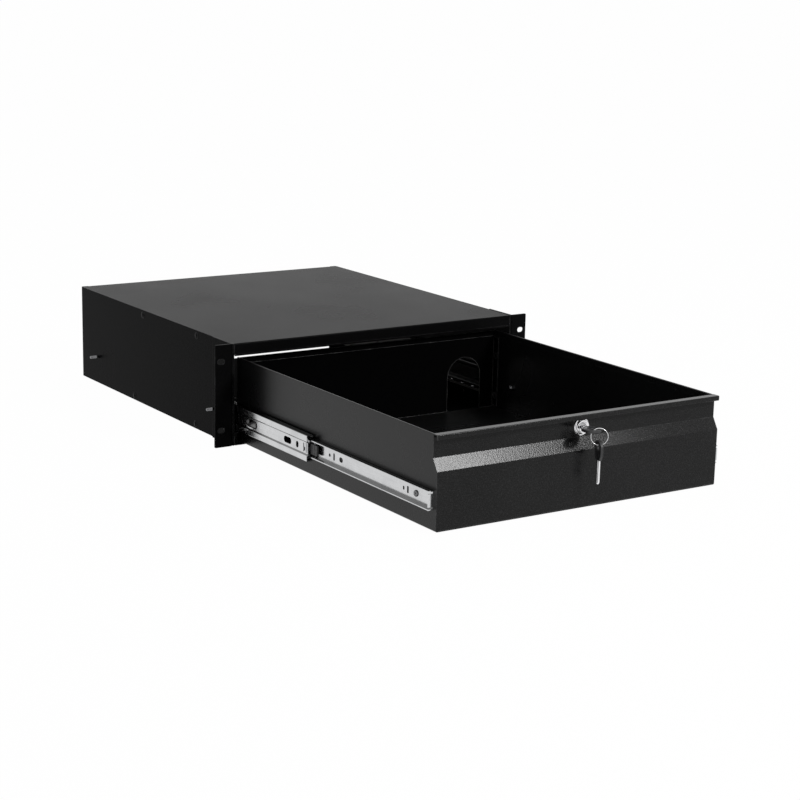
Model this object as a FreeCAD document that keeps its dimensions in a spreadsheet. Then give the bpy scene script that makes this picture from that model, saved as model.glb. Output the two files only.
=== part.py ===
"""Sliding rack drawer, 3U high, for a 19-inch rack, shown with its drawer pulled out.

Units are millimetres.  The origin is the centre of the rack screw pattern, on the
rear face of the rack ears: +X is to the right seen from the front, +Y goes back into
the rack and +Z is up.
"""
import FreeCAD, Part
import math
import os
import Sketcher
from FreeCAD import Placement, Rotation, Vector

doc = FreeCAD.newDocument("rack_drawer")

# ---------------------------------------------------------------------------
# Driving dimensions
# ---------------------------------------------------------------------------

DIMENSIONS = {
    # rack standard
    "rack_width": 482.6,
    "rack_height": 132.6,
    "screw_span": 465.1,
    "screw_pitch": 88.9,
    "ear_slot_length": 10.0,
    "ear_slot_width": 7.0,
    # rack ears
    "ear_sheet": 2.0,
    "ear_leg": 50.0,
    "ear_corner": 1.5,
    # chassis
    "body_width": 432.0,
    "body_front": -2.0,
    "body_rear": 466.0,
    "body_top": 65.9,
    "body_bottom": -66.1,
    "side_sheet": 2.0,
    "cover_sheet": 1.2,
    "floor_sheet": 1.0,
    "bend": 0.6,
    "relief": 0.7,
    "rear_flange": 10.5,
    "rear_lip": 14.0,
    "header_bottom": 51.0,
    "header_return": 28.0,
    "cover_flange": 15.0,
    "cover_flange_start": 24.0,
    "floor_flange": 12.0,
    "top_rivet_one": 98.0,
    "top_rivet_two": 259.0,
    "top_rivet_height": 58.7,
    "low_rivet_one": 102.0,
    "low_rivet_two": 288.0,
    "low_rivet_height": -60.3,
    "back_rivet_height": 57.0,
    "back_rivet_inset": 6.5,
    "rivet_shank": 1.2,
    "rivet_head": 2.0,
    "rivet_head_height": 0.7,
    # cable arches in the drawer's rear wall
    "arch_centre": 150.0,
    "arch_width": 54.0,
    "arch_top": 10.7,
    # drawer
    "travel": 440.0,
    "drawer_front": -441.7,
    "drawer_rear": 14.0,
    "drawer_width": 402.6,
    "drawer_top": 44.6,
    "tray_bottom": -64.5,
    "tray_sheet": 1.2,
    "hem": 8.0,
    "rear_wall_flange": 12.0,
    "rear_wall_drop": 0.5,
    "corner_rivet_high": 8.7,
    "corner_rivet_low": -47.0,
    "corner_rivet_inset": 7.0,
    # drawer front panel
    "panel_sheet": 1.2,
    "panel_recess": 8.2,
    "band_low": 3.6,
    "band_high": 17.3,
    "lip_drop": 6.0,
    "panel_foot": 28.0,
    "panel_return": 14.0,
    # slides: three nested members on each side
    "slide_height": -29.3,
    "slide_width": 12.7,
    "slide_sheet": 1.2,
    "outer_front": 4.0,
    "outer_length": 450.0,
    "outer_half": 22.6,
    "outer_depth": 9.6,
    "outer_lip": 3.2,
    "middle_front": -181.0,
    "middle_length": 410.0,
    "middle_half": 16.2,
    "middle_start": 2.0,
    "middle_web": 3.4,
    "middle_web_half": 6.8,
    "middle_step": 1.9,
    "middle_depth": 10.6,
    "middle_lip": 2.8,
    "inner_front": -436.0,
    "inner_length": 450.0,
    "inner_half": 11.0,
    "inner_start": 5.7,
    "inner_tab": 7.5,
    # ball cages and balls
    "cage_sheet": 0.5,
    "cage_length": 150.0,
    "cage_bridge": 24.0,
    "outer_cage_front": 10.0,
    "outer_cage_start": 1.35,
    "outer_cage_end": 8.0,
    "inner_cage_front": -176.0,
    "inner_cage_start": 4.9,
    "inner_cage_end": 9.2,
    "outer_ball": 2.4,
    "outer_ball_row": 18.8,
    "outer_ball_depth": 5.2,
    "inner_ball": 1.8,
    "inner_ball_row": 13.0,
    "inner_ball_depth": 7.2,
    "ball_pitch": 26.0,
    "ball_start": 10.0,
    "ball_clearance": 0.05,
    # slide screws
    "chassis_screw_front": 52.0,
    "chassis_screw_rear": 416.0,
    "drawer_screw_front": -403.7,
    "drawer_screw_rear": -31.0,
    "screw_radius": 2.0,
    "screw_hole": 2.05,
    "screw_head": 3.8,
    "screw_head_height": 1.7,
    "screw_tip": 9.5,
    "nut_width": 7.0,
    "nut_height": 3.2,
    # release lever of each slide
    "lever_front": -197.0,
    "lever_rear": -139.0,
    "lever_pivot": -152.0,
    "lever_start": 6.4,
    "lever_depth": 2.4,
    "lever_half": 3.2,
    # lock
    "lock_height": 29.2,
    "lock_flange": 10.5,
    "lock_flange_height": 2.0,
    "lock_head": 8.6,
    "lock_head_height": 3.0,
    "lock_edge": 1.2,
    "lock_body": 8.0,
    "lock_rear": -410.5,
    "lock_bore": 6.05,
    "plug_radius": 6.0,
    "plug_front": -438.9,
    "keyway_width": 8.4,
    "keyway_height": 2.6,
    "keyway_end": -412.4,
    "tail_radius": 3.0,
    "tail_length": 6.6,
    "cam_gap": 0.4,
    "cam_sheet": 2.0,
    "cam_reach": 27.0,
    "cam_half": 7.0,
    "cam_tip_half": 5.0,
    "cam_nut_width": 10.0,
    "cam_nut_height": 2.6,
    "lock_nut_width": 22.0,
    "lock_nut_height": 3.0,
    # keys and their ring
    "key_front": -441.0,
    "bow_length": 22.0,
    "bow_width": 20.0,
    "bow_sheet": 3.2,
    "bow_neck": 11.0,
    "bow_hole": 3.5,
    "bow_hole_inset": 6.5,
    "blade_length": 28.0,
    "blade_width": 7.6,
    "blade_sheet": 2.0,
    "ring_radius": 9.75,
    "ring_wire": 0.65,
    "ring_x": 6.0,
    "ring_y": -460.4,
    "ring_height": 22.4,
    "ring_turn": 33.2,
    "spare_hole_drop": 2.0,
    "spare_turn": 18.2,
}

sheet = doc.addObject("Spreadsheet::Sheet", "dims")
for row, (alias, number) in enumerate(DIMENSIONS.items(), start=1):
    sheet.set("A%d" % row, alias)
    sheet.set("B%d" % row, str(number))
    sheet.setAlias("B%d" % row, alias)
doc.recompute()


class Size:
    """A length that knows both its value and its spreadsheet formula."""

    def __init__(self, value, text):
        self.value = float(value)
        self.text = text

    @staticmethod
    def of(other):
        """Take a plain number as a size."""
        if isinstance(other, Size):
            return other
        return Size(other, "(%r)" % float(other))

    def __add__(self, other):
        other = Size.of(other)
        return Size(self.value + other.value, "(%s + %s)" % (self.text, other.text))

    def __sub__(self, other):
        other = Size.of(other)
        return Size(self.value - other.value, "(%s - %s)" % (self.text, other.text))

    def __mul__(self, other):
        other = Size.of(other)
        return Size(self.value * other.value, "(%s * %s)" % (self.text, other.text))

    def __truediv__(self, other):
        other = Size.of(other)
        return Size(self.value / other.value, "(%s / %s)" % (self.text, other.text))

    def __radd__(self, other):
        return Size.of(other) + self

    def __rsub__(self, other):
        return Size.of(other) - self

    def __rmul__(self, other):
        return Size.of(other) * self

    def __neg__(self):
        return self * -1

    def root(self):
        """Square root, for the slope of a bent face."""
        return Size(math.sqrt(self.value), "sqrt(%s)" % self.text)


class Sheet:
    """Every dimension of the spreadsheet as a Size, by its alias."""

    def __getattr__(self, alias):
        return Size(getattr(sheet, alias), "dims.%s" % alias)


d = Sheet()
ZERO = Size(0, "0")
LEFT, RIGHT = -1, 1
SIDES = {"left": LEFT, "right": RIGHT}

# ---------------------------------------------------------------------------
# Sketch and feature helpers
# ---------------------------------------------------------------------------


def new_body(name):
    """A PartDesign body whose label is the name of the piece."""
    body = doc.addObject("PartDesign::Body", name)
    body.Label = name
    return body


def new_sketch(body, name, role, offset=ZERO):
    """A sketch on one of the body's own origin planes, moved along its normal."""
    sketch = body.newObject("Sketcher::SketchObject", name)
    plane = [item for item in body.Origin.OriginFeatures if item.Role == role][0]
    sketch.AttachmentSupport = (plane, "")
    sketch.MapMode = "FlatFace"
    sketch.AttachmentOffset = Placement(Vector(0, 0, offset.value), Rotation())
    sketch.setExpression("AttachmentOffset.Base.z", offset.text)
    return sketch


def pin_point(sketch, shape, point, place):
    """Hold one point of a sketch at a place given from the sketch's origin."""
    for kind, size in zip(("DistanceX", "DistanceY"), place):
        rule = sketch.addConstraint(Sketcher.Constraint(kind, -1, 1, shape, point, size.value))
        sketch.setExpression("Constraints[%d]" % rule, size.text)


def draw_polygon(sketch, corners):
    """A closed outline of straight edges with every corner bound to the sheet."""
    corners = [(Size.of(across), Size.of(up)) for across, up in corners]
    count = len(corners)
    first = sketch.GeometryCount
    for index in range(count):
        start, end = corners[index], corners[(index + 1) % count]
        sketch.addGeometry(Part.LineSegment(
            Vector(start[0].value, start[1].value, 0),
            Vector(end[0].value, end[1].value, 0)))
    for index in range(count):
        following = first + (index + 1) % count
        sketch.addConstraint(Sketcher.Constraint("Coincident", first + index, 2, following, 1))
        pin_point(sketch, first + index, 1, corners[index])


def draw_rectangle(sketch, low, high):
    """A rectangle between two opposite corners."""
    draw_polygon(sketch, [low, (high[0], low[1]), high, (low[0], high[1])])


def draw_circle(sketch, centre, radius):
    """A circle with its centre and radius bound to the sheet."""
    centre = (Size.of(centre[0]), Size.of(centre[1]))
    middle = Vector(centre[0].value, centre[1].value, 0)
    shape = sketch.addGeometry(Part.Circle(middle, Vector(0, 0, 1), radius.value))
    pin_point(sketch, shape, 3, centre)
    rule = sketch.addConstraint(Sketcher.Constraint("Radius", shape, radius.value))
    sketch.setExpression("Constraints[%d]" % rule, radius.text)


def draw_slot(sketch, centre, length, width, upright=False):
    """A slot with round ends, lying along the sketch's first or second axis."""
    centre = (Size.of(centre[0]), Size.of(centre[1]))
    half = (length - width) / 2
    radius = width / 2
    turn = math.pi / 2 if upright else 0.0
    ends = []
    for sign in (1, -1):
        if upright:
            place = (centre[0], centre[1] + half * sign)
        else:
            place = (centre[0] + half * sign, centre[1])
        middle = Vector(place[0].value, place[1].value, 0)
        start = turn - math.pi / 2 if sign > 0 else turn + math.pi / 2
        arc = Part.ArcOfCircle(Part.Circle(middle, Vector(0, 0, 1), radius.value),
                               start, start + math.pi)
        shape = sketch.addGeometry(arc)
        pin_point(sketch, shape, 3, place)
        rule = sketch.addConstraint(Sketcher.Constraint("Radius", shape, radius.value))
        sketch.setExpression("Constraints[%d]" % rule, radius.text)
        ends.append(shape)
    for start, end in ((ends[0], ends[1]), (ends[1], ends[0])):
        geometry = sketch.Geometry
        line = sketch.addGeometry(Part.LineSegment(geometry[start].EndPoint,
                                                   geometry[end].StartPoint))
        sketch.addConstraint(Sketcher.Constraint("Tangent", start, 2, line, 1))
        sketch.addConstraint(Sketcher.Constraint("Tangent", line, 2, end, 1))


def draw_arch(sketch, centre, bottom, width, top):
    """An opening with straight sides under a half-round head."""
    radius = width / 2
    spring = top - radius
    middle = Vector(centre.value, spring.value, 0)
    arc = sketch.addGeometry(Part.ArcOfCircle(
        Part.Circle(middle, Vector(0, 0, 1), radius.value), 0, math.pi))
    rule = sketch.addConstraint(Sketcher.Constraint("DistanceY", -1, 1, arc, 3, spring.value))
    sketch.setExpression("Constraints[%d]" % rule, spring.text)
    corners = [(centre - radius, spring), (centre - radius, bottom),
               (centre + radius, bottom), (centre + radius, spring)]
    lines = []
    for start, end in zip(corners, corners[1:]):
        lines.append(sketch.addGeometry(Part.LineSegment(
            Vector(start[0].value, start[1].value, 0),
            Vector(end[0].value, end[1].value, 0))))
    sketch.addConstraint(Sketcher.Constraint("Coincident", arc, 2, lines[0], 1))
    sketch.addConstraint(Sketcher.Constraint("Coincident", lines[0], 2, lines[1], 1))
    sketch.addConstraint(Sketcher.Constraint("Coincident", lines[1], 2, lines[2], 1))
    sketch.addConstraint(Sketcher.Constraint("Coincident", lines[2], 2, arc, 1))
    pin_point(sketch, lines[0], 1, corners[0])
    pin_point(sketch, lines[1], 1, corners[1])
    pin_point(sketch, lines[2], 1, corners[2])
    pin_point(sketch, lines[2], 2, corners[3])


def pad(body, sketch, length, reverse=False):
    """Extrude a sketch along its normal, or against it."""
    feature = body.newObject("PartDesign::Pad", sketch.Name + "_pad")
    feature.Profile = sketch
    feature.Length = length.value
    feature.setExpression("Length", length.text)
    feature.Reversed = reverse
    sketch.Visibility = False
    doc.recompute()
    return feature


def pocket(body, sketch, length, reverse=False):
    """Cut a sketch against its normal, or along it, and check that it cuts."""
    before = body.Shape.Volume
    feature = body.newObject("PartDesign::Pocket", sketch.Name + "_pocket")
    feature.Profile = sketch
    feature.Length = length.value
    feature.setExpression("Length", length.text)
    feature.Reversed = reverse
    doc.recompute()
    if not body.Shape.Volume < before - 1e-3:
        raise RuntimeError("%s cuts nothing" % feature.Name)
    return feature


def round_edges(body, name, axis, places, radius):
    """Fillet the straight edges that run along an axis through the given places."""
    base = body.Tip
    others = [index for index in range(3) if index != axis]
    chosen = []
    for number, edge in enumerate(base.Shape.Edges, start=1):
        if len(edge.Vertexes) != 2 or edge.Curve.TypeId != "Part::GeomLine":
            continue
        start, end = edge.Vertexes[0].Point, edge.Vertexes[1].Point
        if any(abs(start[index] - end[index]) > 1e-4 for index in others):
            continue
        for place in places:
            gaps = [abs(start[index] - place[slot].value) for slot, index in enumerate(others)]
            if max(gaps) < 1e-3:
                chosen.append("Edge%d" % number)
    if not chosen:
        raise RuntimeError("%s finds no edge" % name)
    feature = body.newObject("PartDesign::Fillet", name)
    feature.Base = (base, chosen)
    feature.Radius = radius.value
    feature.setExpression("Radius", radius.text)
    doc.recompute()
    return feature


def block(body, name, low, high):
    """A rectangular stretch of sheet between two opposite corners."""
    sketch = new_sketch(body, name, "XY_Plane", Size.of(low[2]))
    draw_rectangle(sketch, (low[0], low[1]), (high[0], high[1]))
    return pad(body, sketch, Size.of(high[2]) - Size.of(low[2]))


def group(name, solids):
    """One node that holds several identical loose solids."""
    feature = doc.addObject("Part::Feature", name)
    feature.Label = name
    feature.Shape = Part.makeCompound(solids)
    return feature


def span(low, high):
    """Two sizes in rising order."""
    return (low, high) if low.value < high.value else (high, low)


BODY_HEIGHT = d.body_top - d.body_bottom
WALL = d.body_width / 2
INSIDE = WALL - d.side_sheet
DRAWER_SIDE = d.drawer_width / 2
BEND_OUT = d.bend + d.cover_sheet
BACK = d.body_rear - d.side_sheet

# ---------------------------------------------------------------------------
# Chassis
# ---------------------------------------------------------------------------


def side_panel(name, side):
    """Chassis side: a tall plate whose rear edge turns inwards."""
    body = new_body(name)
    outside, inside = WALL * side, INSIDE * side
    flange_end = (WALL - d.rear_flange) * side
    sketch = new_sketch(body, name + "_plan", "XY_Plane", d.body_bottom)
    draw_polygon(sketch, [
        (outside, d.body_front), (outside, d.body_rear), (flange_end, d.body_rear),
        (flange_end, d.body_rear - d.side_sheet), (inside, d.body_rear - d.side_sheet),
        (inside, d.body_front)])
    pad(body, sketch, BODY_HEIGHT)
    round_edges(body, name + "_bend", 2, [(outside, d.body_rear)], d.bend + d.side_sheet)
    round_edges(body, name + "_bend_inside", 2, [(inside, d.body_rear - d.side_sheet)], d.bend)

    start = WALL + 1 if side == RIGHT else 1 - INSIDE
    holes = new_sketch(body, name + "_holes", "YZ_Plane", start)
    for place in (d.chassis_screw_front, d.chassis_screw_rear):
        draw_circle(holes, (place, d.slide_height), d.screw_hole)
    for place in (d.top_rivet_one, d.top_rivet_two):
        draw_circle(holes, (place, d.top_rivet_height), d.rivet_shank)
    for place in (d.low_rivet_one, d.low_rivet_two):
        draw_circle(holes, (place, d.low_rivet_height), d.rivet_shank)
    pocket(body, holes, d.side_sheet + 2)

    back = new_sketch(body, name + "_back_hole", "XZ_Plane", -d.body_rear - 1)
    draw_circle(back, ((WALL - d.back_rivet_inset) * side, d.back_rivet_height), d.rivet_shank)
    pocket(body, back, d.side_sheet + 2, reverse=True)
    return body


def corner_relief(body, name, top, depth):
    """Notch the rear corners of a sheet so that it clears the bends of the sides."""
    for side_name, side in SIDES.items():
        low_x, high_x = span((INSIDE + 1) * side, (INSIDE - d.relief) * side)
        sketch = new_sketch(body, name + "_relief_" + side_name, "XY_Plane", top)
        draw_rectangle(sketch, (low_x, BACK - d.relief), (high_x, BACK + 1))
        pocket(body, sketch, depth)


def top_cover():
    """Top sheet, with the front edge bent down and back in as a header."""
    body = new_body("top_cover")
    top, front, rear = d.body_top, d.body_front, BACK
    low, gauge = d.header_bottom, d.cover_sheet
    profile = new_sketch(body, "cover_profile", "YZ_Plane", -INSIDE)
    draw_polygon(profile, [
        (d.header_return, low), (front, low), (front, top), (rear, top),
        (rear, top - gauge), (front + gauge, top - gauge), (front + gauge, low + gauge),
        (d.header_return, low + gauge)])
    pad(body, profile, INSIDE * 2)
    round_edges(body, "cover_bends", 0, [(front, top), (front, low)], BEND_OUT)
    round_edges(body, "cover_bends_inside", 0,
                [(front + gauge, top - gauge), (front + gauge, low + gauge)], d.bend)
    for side_name, side in SIDES.items():
        low_x, high_x = span(INSIDE * side, (INSIDE - gauge) * side)
        block(body, "cover_flange_" + side_name,
              (low_x, d.cover_flange_start, top - d.cover_flange),
              (high_x, rear - 6, top - gauge / 2))
    corner_relief(body, "cover", top + 1, gauge + 2)
    lip_half = INSIDE - d.relief
    block(body, "cover_rear_lip", (-lip_half, rear - gauge, top - d.rear_lip),
          (lip_half, rear, top - gauge / 2))
    holes = new_sketch(body, "cover_rivet_holes", "YZ_Plane", WALL)
    for place in (d.top_rivet_one, d.top_rivet_two):
        draw_circle(holes, (place, d.top_rivet_height), d.rivet_shank)
    pocket(body, holes, d.body_width)
    back = new_sketch(body, "cover_back_holes", "XZ_Plane", -rear - 1)
    for side in SIDES.values():
        draw_circle(back, ((WALL - d.back_rivet_inset) * side, d.back_rivet_height),
                    d.rivet_shank)
    pocket(body, back, gauge + 2, reverse=True)
    return body


def bottom_panel():
    """Bottom sheet of the chassis, with its sides turned up."""
    body = new_body("bottom_panel")
    low, gauge, rear = d.body_bottom, d.floor_sheet, BACK
    profile = new_sketch(body, "floor_profile", "XZ_Plane", -rear)
    draw_polygon(profile, [
        (-INSIDE, low + d.floor_flange), (-INSIDE, low), (INSIDE, low),
        (INSIDE, low + d.floor_flange), (INSIDE - gauge, low + d.floor_flange),
        (INSIDE - gauge, low + gauge), (gauge - INSIDE, low + gauge),
        (gauge - INSIDE, low + d.floor_flange)])
    pad(body, profile, rear - d.body_front)
    round_edges(body, "floor_bends", 1, [(INSIDE, low), (-INSIDE, low)], d.bend + gauge)
    round_edges(body, "floor_bends_inside", 1,
                [(INSIDE - gauge, low + gauge), (gauge - INSIDE, low + gauge)], d.bend)
    corner_relief(body, "floor", low + d.floor_flange + 1, d.floor_flange + 2)
    holes = new_sketch(body, "floor_rivet_holes", "YZ_Plane", WALL)
    for place in (d.low_rivet_one, d.low_rivet_two):
        draw_circle(holes, (place, d.low_rivet_height), d.rivet_shank)
    pocket(body, holes, d.body_width)
    return body


def rack_ear(name, side):
    """Angle bracket: the slotted front plate and a leg along the chassis side."""
    body = new_body(name)
    edge = d.rack_width / 2 * side
    corner, leg = WALL * side, (WALL + d.ear_sheet) * side
    sketch = new_sketch(body, name + "_plan", "XY_Plane", -d.rack_height / 2)
    draw_polygon(sketch, [
        (edge, -d.ear_sheet), (corner, -d.ear_sheet), (corner, d.ear_leg),
        (leg, d.ear_leg), (leg, ZERO), (edge, ZERO)])
    pad(body, sketch, d.rack_height)
    round_edges(body, name + "_bend", 2, [(corner, -d.ear_sheet)], d.ear_sheet + 1)
    round_edges(body, name + "_bend_inside", 2, [(leg, ZERO)], d.ear_sheet / 2)
    half = d.rack_height / 2
    round_edges(body, name + "_corners", 1, [(edge, half), (edge, -half)], d.ear_corner)
    slots = new_sketch(body, name + "_slots", "XZ_Plane", -d.ear_sheet)
    for row in (1, -1):
        draw_slot(slots, (d.screw_span / 2 * side, d.screw_pitch / 2 * row),
                  d.ear_slot_length, d.ear_slot_width)
    pocket(body, slots, d.ear_sheet * 3, reverse=True)
    return body


# ---------------------------------------------------------------------------
# Slides: across a slide, depth is counted from the chassis wall to the drawer
# ---------------------------------------------------------------------------


def slide_member(name, side, outline, front, length):
    """A rolled steel section, drawn as (depth, height) and run along the slide."""
    body = new_body(name)
    sketch = new_sketch(body, name + "_section", "XZ_Plane", -front - length)
    draw_polygon(sketch, [((INSIDE - depth) * side, d.slide_height + height)
                          for depth, height in outline])
    pad(body, sketch, length)
    return body


def web_cut(body, name, side, depth, holes):
    """Punch holes and slots through the web of a slide member."""
    start = INSIDE - depth + 1 if side == RIGHT else depth + d.slide_sheet + 1 - INSIDE
    sketch = new_sketch(body, name, "YZ_Plane", start)
    for shape in holes:
        shape(sketch)
    pocket(body, sketch, d.slide_sheet + 2)


def round_hole(place, radius, height=ZERO):
    """A round hole for web_cut."""
    return lambda sketch: draw_circle(sketch, (place, d.slide_height + height), Size.of(radius))


def slot_hole(place, length, width, upright=False, height=ZERO):
    """A slotted hole for web_cut."""
    return lambda sketch: draw_slot(sketch, (place, d.slide_height + height),
                                    Size.of(length), Size.of(width), upright)


def outer_slide(name, side):
    """Chassis member: a deep channel with lips that hold the outer balls."""
    half, gauge, deep, lip = d.outer_half, d.slide_sheet, d.outer_depth, d.outer_lip
    inner = half - gauge
    body = slide_member(name, side, [
        (ZERO, half), (deep, half), (deep, half - lip), (deep - gauge, half - lip),
        (deep - gauge, inner), (gauge, inner), (gauge, -inner), (deep - gauge, -inner),
        (deep - gauge, lip - half), (deep, lip - half), (deep, -half), (ZERO, -half)],
        d.outer_front, d.outer_length)
    top, bottom = d.slide_height + half, d.slide_height - half
    round_edges(body, name + "_bends", 1,
                [((INSIDE - deep) * side, top), ((INSIDE - deep) * side, bottom),
                 (INSIDE * side, top), (INSIDE * side, bottom)], gauge)
    web_cut(body, name + "_holes", side, ZERO, [
        round_hole(d.chassis_screw_front, d.screw_hole),
        round_hole(d.chassis_screw_rear, d.screw_hole),
        slot_hole(d.outer_front + 22, 9, 4.5),
        slot_hole(d.outer_front + 110, 9, 4.5, upright=True),
        round_hole(d.outer_front + 240, 2.3),
        slot_hole(d.outer_front + 330, 9, 4.5, upright=True)])
    return body


def intermediate_slide(name, side):
    """Middle member: its web is set back between two proud ball rails."""
    half, gauge, start, web = d.middle_half, d.slide_sheet, d.middle_start, d.middle_web
    flat, step, deep, lip = d.middle_web_half, d.middle_step, d.middle_depth, d.middle_lip
    rail, back = start + gauge, web + gauge
    upper = [
        (deep, half - lip), (deep, half), (start, half), (start, flat + step), (web, flat)]
    lower = [(depth, -height) for depth, height in reversed(upper)]
    back_low = [(deep - gauge, lip - half), (deep - gauge, gauge - half), (rail, gauge - half),
                (rail, -flat - step - gauge / 2), (back, -flat - gauge / 2)]
    back_high = [(depth, -height) for depth, height in reversed(back_low)]
    body = slide_member(name, side, upper + lower + back_low + back_high,
                        d.middle_front, d.middle_length)
    top, bottom = d.slide_height + half, d.slide_height - half
    round_edges(body, name + "_bends", 1,
                [((INSIDE - start) * side, top), ((INSIDE - start) * side, bottom),
                 ((INSIDE - deep) * side, top), ((INSIDE - deep) * side, bottom)], gauge)
    nose = d.middle_front
    web_cut(body, name + "_windows", side, web, [
        slot_hole(nose + 9.5, 11, 1.8, upright=True),
        slot_hole(nose + 25, 8, 6, upright=True), slot_hole(nose + 48.5, 18, 8),
        slot_hole(nose + 138.5, 27, 10), slot_hole(nose + 170.5, 9, 8, upright=True),
        round_hole(nose + 230, 2.5), slot_hole(nose + 330, 18, 8)])
    web_cut(body, name + "_stop_hole", side, web, [round_hole(nose + 8, 2.4, Size.of(-1.5))])
    stop = "stop_" + name
    low_x, high_x = span((INSIDE - web) * side, (INSIDE - start - gauge / 3) * side)
    block(body, stop, (low_x, nose + 3, d.slide_height - flat + 1),
          (high_x, nose + 4.5, d.slide_height + flat - 1))
    return body


def inner_slide(name, side):
    """Drawer member: a shallow channel, closed at the front by a bent tab."""
    half, gauge, start, deep = d.inner_half, d.slide_sheet, d.inner_start, d.slide_width
    body = slide_member(name, side, [
        (start, half), (deep, half), (deep, -half), (start, -half),
        (start, gauge - half), (deep - gauge, gauge - half), (deep - gauge, half - gauge),
        (start, half - gauge)], d.inner_front, d.inner_length)
    top, bottom = d.slide_height + half, d.slide_height - half
    round_edges(body, name + "_bends", 1,
                [((INSIDE - deep) * side, top), ((INSIDE - deep) * side, bottom)], gauge)
    low_x, high_x = span((INSIDE - start) * side, (INSIDE - deep + gauge / 2) * side)
    block(body, "tab_" + name, (low_x, d.inner_front, d.slide_height - d.inner_tab),
          (high_x, d.inner_front + gauge, d.slide_height + d.inner_tab))
    nose, tail = d.inner_front, d.inner_front + d.inner_length
    web_cut(body, name + "_holes", side, deep - gauge, [
        round_hole(d.drawer_screw_front, d.screw_hole),
        slot_hole(nose + 49, 8.5, 3.4, upright=True),
        slot_hole(nose + 57.5, 4.5, 3.2, upright=True),
        slot_hole(nose + 191.6, 8, 6), slot_hole(nose + 207.5, 9, 3.4, upright=True),
        round_hole(nose + 217.3, 2), round_hole(d.drawer_screw_rear, d.screw_hole),
        slot_hole(tail - 62, 8.5, 3.4, upright=True), slot_hole(tail - 72, 8, 6)])
    return body


def ball_cage(name, side, front, start, end, row, ball, depth):
    """Ball retainer: two strips with ball holes, joined by a bridge at the rear."""
    body = new_body(name)
    thin = d.cage_sheet
    length = d.cage_length
    low_x, high_x = span((INSIDE - start) * side, (INSIDE - end) * side)
    for strip, sign in (("upper", 1), ("lower", -1)):
        middle = d.slide_height + row * sign
        block(body, name + "_" + strip, (low_x, front, middle - thin / 2),
              (high_x, front + length, middle + thin / 2))
        if strip == "upper":
            low_web, high_web = span((INSIDE - start) * side, (INSIDE - start - thin) * side)
            block(body, name + "_bridge",
                  (low_web, front + length - d.cage_bridge, d.slide_height - row),
                  (high_web, front + length, d.slide_height + row))
    holes = new_sketch(body, name + "_ball_holes", "XY_Plane", d.slide_height + row + 2)
    for index in range(BALLS_PER_ROW):
        draw_circle(holes, ((INSIDE - depth) * side, front + d.ball_start + d.ball_pitch * index),
                    ball + d.ball_clearance)
    pocket(body, holes, row * 2 + 4)
    return body


def balls(name, side, front, row, ball, depth):
    """The loose balls of one cage, in an upper and a lower row."""
    solids = []
    for sign in (1, -1):
        for index in range(BALLS_PER_ROW):
            along = front + d.ball_start + d.ball_pitch * index
            centre = Vector((INSIDE - depth).value * side, along.value,
                            (d.slide_height + row * sign).value)
            solids.append(Part.makeSphere(ball.value, centre))
    return group(name, solids)


KEY_CUT_DEPTHS = (1.2, 2.2, 0.8, 1.8)
KEY_CUT_PITCH = 4.5
KEY_CUT_FLAT = 1.2
KEY_TIP = 5.0
KEY_SHOULDER = 23.0
BALLS_PER_ROW = 6


def release_lever(name, side):
    """Plastic lever in the drawer member that frees the drawer from its slide."""
    body = new_body(name)
    near = (INSIDE - d.lever_start) * side
    far = (INSIDE - d.lever_start - d.lever_depth) * side
    low_x, high_x = span(near, far)
    sketch = new_sketch(body, name + "_side", "YZ_Plane", low_x)
    half, centre = d.lever_half, d.slide_height
    draw_polygon(sketch, [
        (d.lever_front, centre - half * 1.6), (d.lever_front + 9, centre - half * 1.6),
        (d.lever_front + 18, centre - half / 2), (d.lever_pivot - 8, centre - half / 2),
        (d.lever_pivot - 2, centre - half), (d.lever_rear, centre - half),
        (d.lever_rear, centre + half), (d.lever_pivot - 2, centre + half),
        (d.lever_pivot - 8, centre + half / 2), (d.lever_front + 9, centre + half / 2),
        (d.lever_front, centre - half / 4)])
    pad(body, sketch, high_x - low_x)
    web = (INSIDE - d.slide_width + d.slide_sheet) * side
    low_boss, high_boss = span(far, web + 0.1 * side)
    boss = new_sketch(body, name + "_boss", "YZ_Plane", low_boss)
    draw_circle(boss, (d.lever_pivot, centre), Size.of(2.2))
    pad(body, boss, high_boss - low_boss)
    return body


# ---------------------------------------------------------------------------
# Drawer
# ---------------------------------------------------------------------------


def bend_shift():
    """How far a slanted face's bend line drops through the sheet's thickness."""
    rise, run = d.band_high - d.band_low, d.panel_recess
    slope = (rise * rise + run * run).root()
    return d.panel_sheet * (slope - rise) / run


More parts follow.
